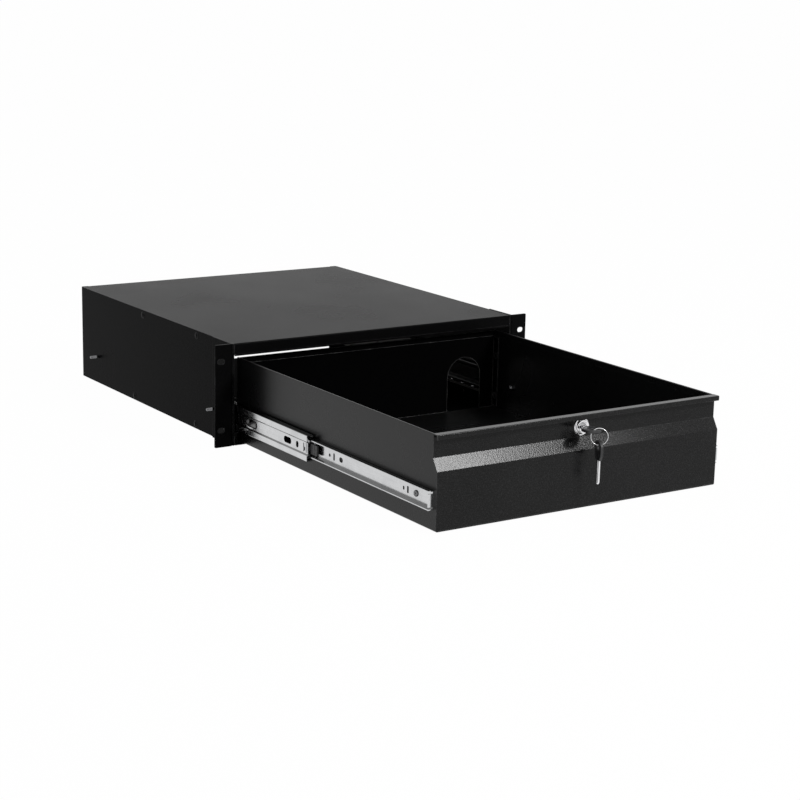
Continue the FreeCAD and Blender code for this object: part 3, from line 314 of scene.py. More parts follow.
@dataclass(frozen=True)
class PlatedSteel:
    """Zinc-plated rolled steel, with drawing lines along one axis."""

    name: str
    colour: Triple = (0.68, 0.685, 0.69)
    shade: Triple = (0.46, 0.465, 0.475)
    # dark colour put on level and inward faces as painted shade, and how much of it
    painted_shade_colour: Triple = (0.05, 0.05, 0.048)
    painted_shade_amount: float = 0.0
    roughness: float = 0.17
    stretch: Triple = (1.0, 0.02, 1.0)
    lines: float = 900.0
    spangle_scale: float = 160.0
    stain_scale: float = 28.0
    relief: float = 0.00001

    def material(self) -> bpy.types.Material:
        """Build the material."""
        nodes = Nodes(self.name)
        drawn = nodes.noise(self.lines, 3.0, self.stretch)
        spangle = nodes.noise(self.spangle_scale, 4.0, roughness=0.7)
        stain = nodes.ramp(nodes.noise(self.stain_scale, 4.0), 0.5, 0.75)
        tone = (drawn * 0.5 + spangle * 0.35 + stain * 0.4).clamp()
        colour = nodes.blend(tone, self.colour, self.shade)
        # painted shade: faces looking up or down or towards the middle plane are darkened
        painted_shade_faces = (nodes.level_faces() + nodes.inward_faces()).clamp()
        return nodes.finish(
            Base_Color=nodes.blend(painted_shade_faces * self.painted_shade_amount, colour, self.painted_shade_colour),
            Metallic=1.0,
            Roughness=(self.roughness + (spangle - 0.5) * 0.14 + stain * 0.06).clamp(),
            Normal=nodes.bump(drawn * 0.7 + spangle * 0.3, self.relief, 0.4))


@dataclass(frozen=True)
class Chrome:
    """Bright plating with faint handling marks."""

    name: str
    colour: Triple = (0.78, 0.78, 0.79)
    roughness: float = 0.1
    marks: float = 300.0
    marked: Triple = (0.5, 0.5, 0.51)
    haze_scale: float = 120.0
    relief: float = 0.00001

    def material(self) -> bpy.types.Material:
        """Build the material."""
        nodes = Nodes(self.name)
        marks = nodes.ramp(nodes.noise(self.marks, 4.0, (1.0, 0.2, 1.0)), 0.5, 0.8)
        haze = nodes.noise(self.haze_scale, 3.0)
        return nodes.finish(
            Base_Color=nodes.blend(marks * 0.5, self.colour, self.marked), Metallic=1.0,
            Roughness=(self.roughness + marks * 0.12 + haze * 0.05).clamp(),
            Normal=nodes.bump(marks + haze * 0.4, self.relief, 0.4))


@dataclass(frozen=True)
class BlackPlastic:
    """Moulded black plastic with a fine spark-eroded grain."""

    name: str
    dark: Triple = (0.012, 0.012, 0.013)
    light: Triple = (0.028, 0.028, 0.029)
    roughness: float = 0.42
    grain: float = 2600.0
    flow_scale: float = 90.0
    scuff_width: float = 0.0005
    relief: float = 0.00002

    def material(self) -> bpy.types.Material:
        """Build the material."""
        nodes = Nodes(self.name)
        grain = nodes.noise(self.grain, 2.0)
        flow = nodes.noise(self.flow_scale, 4.0, (1.0, 0.3, 1.0))
        scuffs = nodes.edges(self.scuff_width)
        tone = (flow * 0.6 + scuffs * 0.6).clamp()
        return nodes.finish(
            Base_Color=nodes.blend(tone, self.dark, self.light),
            Roughness=(self.roughness + (flow - 0.5) * 0.12 + scuffs * 0.08).clamp(),
            Specular_IOR_Level=0.45,
            Normal=nodes.bump(grain, self.relief, 0.5))


@dataclass(frozen=True)
class Floor:
    """White floor that keeps the shadow in front of the object."""

    name: str = "studio_floor"
    whiteness: float = 0.985
    mottle: float = 1.5

    def material(self) -> bpy.types.Material:
        """Build the material: bright where it is looked at, plain elsewhere."""
        nodes = Nodes(self.name)
        tree, output = nodes.tree, nodes.tree.nodes["Material Output"]
        nodes.finish(Base_Color=(0.8, 0.8, 0.8, 1.0), Roughness=0.9)
        shade = nodes.noise(self.mottle, 2.0)
        glow = nodes.add("ShaderNodeEmission", None, Strength=1.0)
        nodes.feed(glow.inputs["Color"], nodes.blend(shade * 0.01, (1.0, 1.0, 1.0),
                                                     (0.99, 0.99, 0.99)))
        mix = nodes.add("ShaderNodeMixShader")
        nodes.feed(mix.inputs[0], Value(nodes, seen_rays(tree)) * self.whiteness)
        tree.links.new(nodes.shader.outputs[0], mix.inputs[1])
        tree.links.new(glow.outputs[0], mix.inputs[2])
        tree.links.new(mix.outputs[0], output.inputs["Surface"])
        return nodes.material


# --------------------------------------------------------------------------
# Modelling by hand: a small bench of edit-mode moves
# --------------------------------------------------------------------------


class Bench:
    """Edit-mode modelling of one object, by place and normal."""

    def __init__(self, name: str) -> None:
        """Name the piece that the next primitive starts."""
        self.name = name
        self.piece: bpy.types.Object | None = None

    @staticmethod
    def clear() -> None:
        """Leave edit mode and deselect every object."""
        active = bpy.context.view_layer.objects.active
        if active is not None and active.mode != "OBJECT":
            bpy.ops.object.mode_set(mode="OBJECT")
        bpy.ops.object.select_all(action="DESELECT")

    def activate(self) -> None:
        """Select only this piece and make it the active one."""
        self.clear()
        self.piece.select_set(True)
        bpy.context.view_layer.objects.active = self.piece

    def take(self) -> "Bench":
        """Adopt the primitive that was just added."""
        self.piece = bpy.context.active_object
        self.piece.name = self.name
        self.piece.data.name = self.name
        return self

    def cylinder(self, radius: float, depth: float, sides: int = 32,
                 at: Triple = (0.0, 0.0, 0.0)) -> "Bench":
        """Start from a cylinder along Z, its foot at a place."""
        self.clear()
        centre = (at[0], at[1], at[2] + depth / 2)
        bpy.ops.mesh.primitive_cylinder_add(vertices=sides, radius=radius, depth=depth,
                                            location=centre)
        return self.take().settle()

    def block(self, size: Triple, at: Triple = (0.0, 0.0, 0.0)) -> "Bench":
        """Start from a block, centred at a place."""
        self.clear()
        bpy.ops.mesh.primitive_cube_add(size=1.0, location=at, scale=size)
        return self.take().settle()

    def lathe(self, profile: Sequence[tuple[float, float]], sides: int = 64) -> "Bench":
        """Turn a closed run of (radius, height) rings about Z, ring by ring."""
        self.clear()
        bpy.ops.mesh.primitive_circle_add(vertices=sides, radius=profile[0][0],
                                          location=(0.0, 0.0, profile[0][1]))
        self.take().settle().edit()
        bpy.ops.mesh.select_all(action="SELECT")
        for (radius, height), (wider, higher) in zip(profile, [*profile[1:], profile[0]]):
            step = {"value": (0.0, 0.0, higher - height)}
            bpy.ops.mesh.extrude_edges_move(TRANSFORM_OT_translate=step)
            self.resize((wider / radius, wider / radius, 1.0), (0.0, 0.0, 0.0))
        return self.leave(30.0)

    def from_node(self, node: str, back: Matrix) -> "Bench":
        """Start from a merged copy of a CAD node, moved back to its own origin."""
        self.clear()
        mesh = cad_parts[node].data.copy()
        self.piece = bpy.data.objects.new(self.name, mesh)
        mesh.name = self.name
        bpy.context.collection.objects.link(self.piece)
        mesh.transform(back)
        self.edit()
        bpy.ops.mesh.select_all(action="SELECT")
        bpy.ops.mesh.remove_doubles(threshold=SEAM)
        bpy.ops.mesh.dissolve_limited(angle_limit=math.radians(1.0))
        return self.leave()

    def wire(self, points: Sequence[Triple], radius: float) -> "Bench":
        """A round wire along a smooth line of points, as a mesh."""
        self.clear()
        curve = bpy.data.curves.new(self.name, "CURVE")
        curve.dimensions = "3D"
        curve.bevel_depth = radius
        curve.bevel_resolution = 3
        curve.use_fill_caps = True
        spline = curve.splines.new("POLY")
        spline.points.add(len(points) - 1)
        for point, place in zip(spline.points, points):
            point.co = (*place, 1.0)
        self.piece = bpy.data.objects.new(self.name, curve)
        bpy.context.collection.objects.link(self.piece)
        self.activate()
        bpy.ops.object.convert(target="MESH")
        self.edit()
        return self.leave(60.0)

    def settle(self) -> "Bench":
        """Put the object's place into its mesh."""
        self.activate()
        bpy.ops.object.transform_apply(location=True, rotation=True, scale=True)
        return self

    def edit(self) -> bmesh.types.BMesh:
        """Enter edit mode with nothing selected."""
        self.activate()
        bpy.ops.object.mode_set(mode="EDIT")
        bpy.ops.mesh.select_all(action="DESELECT")
        return bmesh.from_edit_mesh(self.piece.data)

    def faces(self, test: Callable[[Vector, Vector], bool]) -> "Bench":
        """Select faces by centre and normal."""
        bpy.ops.mesh.select_mode(type="FACE")
        mesh = bmesh.from_edit_mesh(self.piece.data)
        for face in mesh.faces:
            face.select_set(bool(test(face.calc_center_median(), face.normal)))
        mesh.select_flush_mode()
        bmesh.update_edit_mesh(self.piece.data)
        return self

    def edges(self, test: Callable[[Vector, Vector], bool]) -> "Bench":
        """Select edges by their two ends."""
        bpy.ops.mesh.select_mode(type="EDGE")
        mesh = bmesh.from_edit_mesh(self.piece.data)
        for edge in mesh.edges:
            edge.select_set(bool(test(edge.verts[0].co, edge.verts[1].co)))
        mesh.select_flush_mode()
        bmesh.update_edit_mesh(self.piece.data)
        return self

    def inset(self, thickness: float, depth: float = 0.0) -> "Bench":
        """Inset the selected faces."""
        bpy.ops.mesh.inset(thickness=thickness, depth=depth, use_boundary=True)
        return self

    def bevel(self, width: float, segments: int = 2) -> "Bench":
        """Bevel the selected edges."""
        bpy.ops.mesh.bevel(offset=width, segments=segments, affect="EDGES", clamp_overlap=True)
        return self

    def resize(self, scale: Triple, centre: Triple) -> "Bench":
        """Scale what is selected about a point."""
        bpy.ops.transform.resize(value=scale, center_override=centre)
        return self

    def leave(self, smooth: float = 35.0) -> "Bench":
        """Return to object mode with faces outwards, smooth below an angle."""
        bpy.ops.mesh.select_all(action="SELECT")
        bpy.ops.mesh.remove_doubles(threshold=WELD)
        bpy.ops.mesh.normals_make_consistent(inside=False)
        bpy.ops.object.mode_set(mode="OBJECT")
        bpy.ops.object.shade_smooth_by_angle(angle=math.radians(smooth))
        return self

    def cut(self, tool: bpy.types.Object) -> "Bench":
        """Cut a tool's volume out of the piece and throw the tool away."""
        return self.combine(tool, "DIFFERENCE")

    def combine(self, tool: bpy.types.Object, operation: str) -> "Bench":
        """Boolean the piece with a tool and throw the tool away."""
        self.activate()
        modifier = self.piece.modifiers.new("shape", "BOOLEAN")
        modifier.operation = operation
        modifier.object = tool
        modifier.solver = "EXACT"
        bpy.ops.object.modifier_apply(modifier=modifier.name)
        bpy.data.objects.remove(tool)
        return self

    def soften(self, width: float, segments: int = 2, angle: float = 40.0) -> "Bench":
        """Round the edges sharper than an angle with an applied modifier."""
        self.activate()
        modifier = self.piece.modifiers.new("edges", "BEVEL")
        modifier.width = width
        modifier.segments = segments
        modifier.limit_method = "ANGLE"
        modifier.angle_limit = math.radians(angle)
        bpy.ops.object.modifier_apply(modifier=modifier.name)
        bpy.ops.object.shade_smooth_by_angle(angle=math.radians(35.0))
        return self

    def join(self, others: Iterable[bpy.types.Object]) -> "Bench":
        """Join finished objects into this piece."""
        self.activate()
        for other in others:
            other.select_set(True)
        bpy.ops.object.join()
        return self

    def move(self, matrix: Matrix) -> "Bench":
        """Put the piece in place, in its mesh."""
        self.piece.data.transform(matrix)
        self.piece.data.update()
        return self


def copy_of(piece: bpy.types.Object, name: str, matrix: Matrix) -> bpy.types.Object:
    """Copy a piece with its own mesh, put in place.

    Args:
        piece: The object to copy.
        name: Name of the copy.
        matrix: Where the copy goes.

    Returns:
        The new object.
    """
    twin = piece.copy()
    twin.data = piece.data.copy()
    twin.name = twin.data.name = name
    bpy.context.collection.objects.link(twin)
    twin.data.transform(matrix)
    return twin


def facing(direction: Triple, at: Triple) -> Matrix:
    """A matrix that turns +Z to a direction and moves the origin to a place."""
    turn = Vector((0.0, 0.0, 1.0)).rotation_difference(Vector(direction))
    return Matrix.Translation(Vector(at)) @ turn.to_matrix().to_4x4()


def sideways(place: Vector, seat: float, outward: float = 1.0) -> Matrix:
    """A matrix that stands a fastener on an upright sheet.

    Args:
        place: Centre of the fastener in the CAD.
        seat: Distance of the sheet's face from the middle plane.
        outward: 1 where the head faces away from the middle, or -1.

    Returns:
        The matrix, on the place's own side.
    """
    side = math.copysign(1.0, place.x)
    return facing((side * outward, 0.0, 0.0), (side * seat, place.y, place.z))


def repeat(name: str, first: bpy.types.Object, places: Iterable[Matrix]) -> bpy.types.Object:
    """Copy a fastener to every place and join the copies.

    Args:
        name: Name of the finished piece.
        first: The fastener at the origin, thrown away afterwards.
        places: Where the copies go.

    Returns:
        All copies as one object.
    """
    twins = [copy_of(first, first.name + "_copy", place) for place in places]
    bpy.data.objects.remove(first)
    bench = Bench(name)
    bench.piece = twins[0]
    bench.join(twins[1:])
    bench.piece.name = name
    return bench.piece


def dress(piece: bpy.types.Object, material: bpy.types.Material) -> None:
    """Give an object one material."""
    piece.data.materials.clear()
    piece.data.materials.append(material)


def centres(node: str) -> list[Vector]:
    """Centre of each loose solid of a CAD node."""
    mesh = bmesh.new()
    mesh.from_mesh(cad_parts[node].data)
    bmesh.ops.remove_doubles(mesh, verts=mesh.verts, dist=WELD)
    found: list[Vector] = []
    left = set(mesh.verts)
    while left:
        start = left.pop()
        island, queue = [start], [start]
        while queue:
            vertex = queue.pop()
            for edge in vertex.link_edges:
                other = edge.other_vert(vertex)
                if other in left:
                    left.discard(other)
                    island.append(other)
                    queue.append(other)
        low = Vector([min(v.co[i] for v in island) for i in range(3)])
        high = Vector([max(v.co[i] for v in island) for i in range(3)])
        found.append((low + high) / 2)
    mesh.free()
    return sorted(found, key=lambda place: tuple(round(c, 5) for c in place))


@dataclass
class Piece:
    """A finished object with its body, its slot and what it stands for."""

    shape: bpy.types.Object
    body: str
    slot: str
    replaces: Sequence[str] = field(default_factory=tuple)

    def fit(self, material: bpy.types.Material) -> None:
        dress(self.shape, material)
        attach(self.shape, self.body)
        if self.replaces:
            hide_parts(*self.replaces)
        LOG.info("%s: %d faces on %s", self.shape.name, len(self.shape.data.polygons),
                 self.body)


# --------------------------------------------------------------------------
# Fasteners
# --------------------------------------------------------------------------


@dataclass
class Fasteners:
    """Screws, nuts and rivets, each modelled once and copied."""

    shank: float = 2.0 * MM
    head: float = 3.8 * MM
    head_height: float = 1.7 * MM
    pitch: float = 0.7 * MM
    nut_width: float = 7.0 * MM
    nut_height: float = 3.2 * MM
    nut_edge: float = 0.25 * MM
    nut_chamfer: float = 0.5 * MM
    rivet_head: float = 1.4 * MM
    rivet_height: float = 0.5 * MM
    dimple_wall: float = 0.12 * MM
    dimple_depth: float = 0.3 * MM

    def screw(self, name: str, length: float) -> bpy.types.Object:
        """A cross-recessed pan-head screw: its seat at the origin, shank down, head up.

        Args:
            name: Name of the piece.
            length: Length of the shank.

        Returns:
            The screw.
        """
        head = Bench(name).cylinder(self.head, self.head_height, 40)
        head.edit()
        top = self.head_height
        head.edges(lambda a, b: min(a.z, b.z) > top - NEAR).bevel(top * 0.8, 5)
        head.leave(50.0)
        for turn in (0.0, math.pi / 2):
            arm = Bench("recess").block((self.head * 1.15, self.head * 0.24, top * 1.3),
                                        (0.0, 0.0, top * 1.15))
            arm.edit()
            arm.faces(lambda c, n: n.z < -0.9).resize((0.3, 0.7, 1.0), (0.0, 0.0, 0.0))
            arm.leave()
            arm.move(Matrix.Rotation(turn, 4, "Z"))
            head.cut(arm.piece)
        head.join([self.thread(length)])
        return head.piece

    def thread(self, length: float) -> bpy.types.Object:
        """A shank from the origin down, with its thread as a run of grooves.

        Args:
            length: How far it reaches.

        Returns:
            The shank.
        """
        turns = int(length / self.pitch)
        half = self.pitch / 2
        shank = Bench("thread").cylinder(self.shank * 0.98, length, 24, (0.0, 0.0, -length))
        shank.edit()
        for index in range(1, turns * 2):
            height = -length + index * self.pitch / 2
            bpy.ops.mesh.select_all(action="SELECT")
            bpy.ops.mesh.bisect(plane_co=(0.0, 0.0, height), plane_no=(0.0, 0.0, 1.0))

        def in_groove(a: Vector, b: Vector) -> bool:
            """Whether an edge lies round one of the thread's grooves."""
            step = round((a.z + length) / half)
            level = abs(a.z - b.z) < NEAR and abs(step * half - length - a.z) < NEAR
            return level and step % 2 == 1 and -length + NEAR < a.z < -NEAR

        shank.edges(in_groove).resize((0.84, 0.84, 1.0), (0.0, 0.0, 0.0))
        shank.edges(lambda a, b: max(a.z, b.z) < -length + NEAR)
        shank.resize((0.8, 0.8, 1.0), (0.0, 0.0, 0.0))
        shank.leave(25.0)
        return shank.piece

    def nut(self, name: str) -> bpy.types.Object:
        """A chamfered hexagon nut on a washer face, from the origin up."""
        reach = self.nut_width / math.sqrt(3.0)
        nut = Bench(name).cylinder(reach, self.nut_height, 6)
        nut.soften(self.nut_edge, 2, 30.0)
        round_off = Bench("chamfer").cylinder(reach * 0.985, self.nut_height, 48)
        round_off.edit()
        round_off.edges(lambda a, b: abs(a.z - b.z) < NEAR).bevel(self.nut_chamfer, 2)
        round_off.leave()
        nut.combine(round_off.piece, "INTERSECT")
        bore = Bench("bore").cylinder(self.shank * 1.02, self.nut_height * 1.4, 32,
                                      (0.0, 0.0, -0.2 * self.nut_height))
        nut.cut(bore.piece)
        return nut.piece

    def rivet(self, name: str) -> bpy.types.Object:
        """A domed blind-rivet head with the dimple of its pin, from the origin up."""
        rivet = Bench(name).cylinder(self.rivet_head, self.rivet_height, 36)
        rivet.edit()
        top = self.rivet_height
        rivet.edges(lambda a, b: min(a.z, b.z) > top - NEAR).bevel(top * 0.95, 5)
        rivet.faces(lambda c, n: n.z > 0.9 and c.z > top * 0.9).inset(self.rivet_head * 0.22)
        rivet.inset(self.dimple_wall, -self.dimple_depth)
        rivet.leave(40.0)
        return rivet.piece


# --------------------------------------------------------------------------
# Sub-assemblies
# --------------------------------------------------------------------------


@dataclass
class Chassis:
    """The fixed box with its ears, rivets and slide screws."""

    coat: PowderCoat
    inner_coat: PowderCoat
    zinc: PlatedSteel
    sheet: float = 2.0 * MM
    screw_reach: float = 12.7 * MM
    slide_web: float = 1.2 * MM
    half_width: float = 216.0 * MM
    rear: float = 466.0 * MM
    rear_zone: float = 5.0 * MM
    hem_size: Triple = (425.0 * MM, 2.4 * MM, 2.6 * MM)
    hem_height: float = 51.0 * MM
    hem_gap: float = 0.1 * MM
    hem_round: float = 1.0 * MM
    hem_end: float = 0.2 * MM

    SHEET_NODES = ("left_side_panel", "right_side_panel", "top_cover", "bottom_panel",
                   "left_rack_ear", "right_rack_ear")

    def build(self, fasteners: Fasteners) -> None:
        """Dress the sheets and fit their fasteners."""
        coat, zinc = self.coat.material(), self.zinc.material()
        inner = self.inner_coat.material()
        # the floor pan takes the darker interior coat, painted shade
        for node in self.SHEET_NODES:
            dress(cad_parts[node], inner if node == "bottom_panel" else coat)
            LOG.info("%s: powder coat", node)
        Piece(self.header_hem(), "chassis", "top_cover").fit(coat)
        Piece(self.screws(fasteners), "chassis", "slide_mount_screws",
              ("slide_mount_screws",)).fit(zinc)
        Piece(self.rivets(fasteners), "chassis", "chassis_rivets",
              ("chassis_rivets",)).fit(coat)

    def header_hem(self) -> bpy.types.Object:
        """Rounded hem along the lower edge of the header."""
        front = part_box("top_cover")[0][1]
        width, deep, high = self.hem_size
        hem = Bench("header_hem").block(
            self.hem_size, (0.0, front + deep / 2 + self.hem_gap, self.hem_height))
        hem.edit()
        low = self.hem_height - high / 2 + NEAR
        hem.edges(lambda a, b: max(a.z, b.z) < low and abs(a.x - b.x) > MM)
        hem.bevel(self.hem_round, 5)
        hem.edges(lambda a, b: abs(abs(a.x) - width / 2) < NEAR and abs(a.x - b.x) < NEAR)
        hem.bevel(self.hem_end, 2)
        hem.leave()
        return hem.piece

    def screws(self, fasteners: Fasteners) -> bpy.types.Object:
        """Screws from inside the slides, their threads standing out of the sides."""
        seat = self.half_width - self.sheet - self.slide_web
        places = [sideways(place, seat, -1.0) for place in centres("slide_mount_screws")]
        return repeat("mount_screws", fasteners.screw("mount_screw", self.screw_reach), places)

    def rivets(self, fasteners: Fasteners) -> bpy.types.Object:
        """Rivet heads on the sides and on the rear flanges."""
        places = []
        for place in centres("chassis_rivets"):
            if place.y > self.rear - self.rear_zone:
                places.append(facing((0.0, 1.0, 0.0), (place.x, self.rear, place.z)))
            else:
                places.append(sideways(place, self.half_width))
        return repeat("panel_rivets", fasteners.rivet("panel_rivet"), places)


@dataclass
class DrawerBox:
    """The drawer's tray, rear wall and front panel with their fasteners."""

    coat: PowderCoat
    front_coat: PowderCoat
    inner_coat: PowderCoat
    zinc: PlatedSteel
    half_width: float = 201.3 * MM
    sheet: float = 1.2 * MM
    screw_reach: float = 6.6 * MM

    FRONT_NODES = ("drawer_front_panel", "drawer_lock_rail", "drawer_front_lip")

    def build(self, fasteners: Fasteners) -> None:
        """Dress the sheets and fit their fasteners."""
        coat, zinc = self.coat.material(), self.zinc.material()
        front = self.front_coat.material()
        dress(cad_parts["drawer_tray"], coat)
        # the rear wall takes the darker interior coat, painted shade
        dress(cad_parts["drawer_rear_wall"], self.inner_coat.material())
        for node in self.FRONT_NODES:
            dress(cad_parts[node], front)
            LOG.info("%s: powder coat", node)
        seat = self.half_width + self.sheet
        inner = self.half_width - self.sheet
        for name, node, first, face, outward, material in (
                ("slide_screws", "drawer_slide_screws",
                 fasteners.screw("slide_screws", self.screw_reach), seat, 1.0, zinc),
                ("slide_nuts", "drawer_slide_nuts",
                 fasteners.nut("slide_nuts"), inner, -1.0, zinc),
                ("corner_rivets", "drawer_rivets",
                 fasteners.rivet("corner_rivets"), inner - self.sheet, -1.0, coat)):
            places = [sideways(place, face, outward) for place in centres(node)]
            Piece(repeat(name, first, places), "drawer", node, (node,)).fit(material)


@dataclass
class Slides:
    """Both telescopic slides: members, cages, balls and release levers."""

    zinc: PlatedSteel
    # finish of the outer members, darkened as painted shade
    shaded: PlatedSteel
    cage: PlatedSteel
    steel: Chrome
    plastic: BlackPlastic
    pad_size: Triple = (2.2 * MM, 15.0 * MM, 12.6 * MM)
    pad_place: Triple = (206.4 * MM, -189.6 * MM, -29.3 * MM)

    GROOVES = ((-4.5, -1.5), (1.5, 4.5))   # along the pad from its middle, in millimetres

    def build(self) -> None:
        """Dress the members and make the levers."""
        zinc, shaded, cage = (self.zinc.material(), self.shaded.material(),
                              self.cage.material())
        steel, plastic = self.steel.material(), self.plastic.material()
        finishes = {"intermediate_slide": zinc, "inner_slide": zinc, "outer_slide": shaded,
                    "outer_ball_cage": cage, "inner_ball_cage": cage,
                    "outer_balls": steel, "inner_balls": steel}
        for side in Side:
            for kind, material in finishes.items():
                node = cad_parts[f"{side.name.lower()}_{kind}"]
                dress(node, material)
                LOG.info("%s: %s", node.name, material.name)
            self.lever(side).fit(plastic)

    def lever(self, side: Side) -> Piece:
        """A release lever with moulded faces and its thumb pad.

        Args:
            side: Side of the drawer.

        Returns:
            The lever, ready to be dressed.
        """
        body = side.name.lower() + "_lever"
        node = side.name.lower() + "_release_lever"
        lever = Bench(body + "_moulding").from_node(node, Matrix.Identity(4))
        lever.edit()
        lever.faces(lambda c, n: abs(n.x) > 0.95).inset(0.7 * MM).inset(0.2 * MM, -0.4 * MM)
        lever.leave()
        lever.join([self.thumb_pad(side)])
        lever.soften(0.12 * MM, 2, 50.0)
        return Piece(lever.piece, body, node, (node,))

    def thumb_pad(self, side: Side) -> bpy.types.Object:
        """The lever's broad front end, with a ribbed face.

        Args:
            side: Side of the drawer.

        Returns:
            The pad, in its place on that side.
        """
        x, y, z = self.pad_place
        x *= side.value
        pad = Bench("thumb_pad").block(self.pad_size, (x, y, z))
        pad.edit()
        for step in (*self.GROOVES[0], *self.GROOVES[1]):
            bpy.ops.mesh.select_all(action="SELECT")
            bpy.ops.mesh.bisect(plane_co=(x, y + step * MM, z), plane_no=(0.0, 1.0, 0.0))
        for low, high in self.GROOVES:
            middle = y + (low + high) / 2 * MM
            pad.faces(lambda c, n: n.x * side.value > 0.9 and abs(c.y - middle) < MM)
            pad.inset(0.5 * MM, -0.4 * MM)
        pad.leave()
        return pad.piece


@dataclass
class FrontLock:
    """Cylinder lock: bezel and head, turning plug with keyway, cam and nuts."""

    chrome: Chrome
    zinc: PlatedSteel
    place: Triple = (0.0, -433.5 * MM, 29.2 * MM)
    bore: float = 6.1 * MM
    head: float = 8.6 * MM
    flange: float = 10.5 * MM
    barrel: float = 8.0 * MM
    depth: float = 23.0 * MM
    pitch: float = 1.0 * MM
    face: float = 5.0 * MM
    rim: float = 2.0 * MM
    seat: float = 0.02 * MM
    plain: float = 1.4 * MM
    groove: float = 0.45 * MM

    def build(self) -> None:
        """Turn the housing and dress the other parts."""
        chrome, zinc = self.chrome.material(), self.zinc.material()
        Piece(self.housing(), "drawer", "lock_housing", ("lock_housing",)).fit(chrome)
        dress(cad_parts["lock_plug"], chrome)
        for node in ("lock_nut", "lock_cam", "cam_nut"):
            dress(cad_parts[node], zinc)
        LOG.info("lock dressed")

    def housing(self) -> bpy.types.Object:
        """Flange, rounded head and threaded barrel, turned about the lock's axis."""
        face, rim, head, flange = self.face, self.rim, self.head, self.flange
        profile = [
            (self.bore, face - 0.7 * MM), (self.bore, face - 0.25 * MM),
            (self.bore + 0.25 * MM, face), (head - 1.0 * MM, face),
            (head - 0.45 * MM, face - 0.15 * MM), (head - 0.12 * MM, face - 0.5 * MM),
            (head, face - 1.0 * MM), (head, rim + 0.2 * MM), (head + 0.2 * MM, rim),
            (flange - 0.9 * MM, rim), (flange - 0.35 * MM, rim - 0.2 * MM),
            (flange - 0.05 * MM, rim - 0.65 * MM), (flange, rim - 1.1 * MM),
            (flange, self.seat), (self.barrel, self.seat), (self.barrel, -self.plain)]
        turns = int((self.depth - self.plain - self.pitch) / self.pitch)
        for turn in range(turns):
            low = -self.plain - self.pitch * (turn + 0.5)
            profile += [(self.barrel - self.groove, low), (self.barrel, low - self.pitch / 2)]
        profile += [(self.barrel - 0.6 * MM, -self.depth), (self.bore, -self.depth)]
        return Bench("lock_head").lathe(profile).move(
            facing((0.0, -1.0, 0.0), self.place)).piece


@dataclass
class Keys:
    """The working key, the spare key and the split ring that joins them."""

    nickel: Chrome
    plastic: BlackPlastic
    in_lock: Triple = (0.0, -441.0 * MM, 29.2 * MM)
    spare: Triple = (6.0 * MM, -460.4 * MM, -4.85 * MM)
    spare_turn: float = 71.8
    ring_place: Triple = (6.0 * MM, -460.4 * MM, 22.4 * MM)
    ring_turn: float = -33.2
    ring_radius: float = 9.75 * MM
    wire: float = 0.36 * MM
    blade: float = 28.0 * MM
    blade_half: float = 1.0 * MM
    groove_width: float = 1.5 * MM
    groove_height: float = 0.9 * MM
    ring_steps: int = 176
    ring_open: float = 0.985
    ring_step_over: float = 16.0

    GROOVES = ((1.0, -1.2 * MM), (-1.0, 0.6 * MM))   # face of the blade, shift across it

    def build(self) -> None:
        """Make the bows, the blades and the ring."""
        nickel, plastic = self.nickel.material(), self.plastic.material()
        hang = (Matrix.Translation(self.spare)
                @ Matrix.Rotation(math.radians(self.spare_turn), 4, "Z")
                @ Matrix.Rotation(math.radians(-90.0), 4, "X"))
        places = {"lock_key": ("key", Matrix.Translation(self.in_lock)),
                  "spare_key": ("spare_key", hang)}
        bow, blade = self.bow(), self.milled_blade()
        for owner, (body, place) in places.items():
            for part, first, material in (("bow", bow, plastic), ("blade", blade, nickel)):
                node = f"{owner}_{part}"
                Piece(copy_of(first, node + "_piece", place), body, node,
                      (node,)).fit(material)
        for first in (bow, blade):
            bpy.data.objects.remove(first)
        Piece(self.split_ring(), "ring", "key_ring", ("key_ring",)).fit(nickel)

    def home(self) -> Matrix:
        """Brings the working key back to its own origin."""
        return Matrix.Translation(self.in_lock).inverted()

    def bow(self) -> bpy.types.Object:
        """A moulded key head with a rim round its outline and round its hole."""
        bow = Bench("bow").from_node("lock_key_bow", self.home())
        bow.edit()
        bow.faces(lambda c, n: abs(n.z) > 0.95).inset(1.0 * MM).inset(0.35 * MM, -0.4 * MM)
        bow.leave()
        return bow.soften(0.22 * MM, 3, 50.0).piece

    def milled_blade(self) -> bpy.types.Object:
        """A blade with a groove milled along each face."""
        blade = Bench("blade").from_node("lock_key_blade", self.home())
        for side, shift in self.GROOVES:
            groove = Bench("groove").block(
                (self.groove_width, self.blade * 1.1, self.groove_height),
                (shift, self.blade * 0.5, side * self.blade_half))
            groove.edit()
            groove.faces(lambda c, n: n.z * side < -0.9)
            groove.resize((0.6, 1.0, 1.0), (shift, 0.0, 0.0))
            groove.leave()
            blade.cut(groove.piece)
        return blade.soften(0.12 * MM, 2, 40.0).piece

    def split_ring(self) -> bpy.types.Object:
        """Two turns of spring wire that step over to each other half way."""
        points = []
        for step in range(self.ring_steps + 1):
            along = step / self.ring_steps
            angle = 4.0 * math.pi * (along * self.ring_open)
            rise = self.wire * math.tanh((along - 0.5) * self.ring_step_over)
            points.append((self.ring_radius * math.cos(angle),
                           self.ring_radius * math.sin(angle), rise))
        place = (Matrix.Translation(self.ring_place)
                 @ Matrix.Rotation(math.radians(self.ring_turn), 4, "Z")
                 @ Matrix.Rotation(math.radians(90.0), 4, "X"))
        return Bench("split_ring").wire(points, self.wire).move(place).piece


# --------------------------------------------------------------------------
# Studio
# --------------------------------------------------------------------------


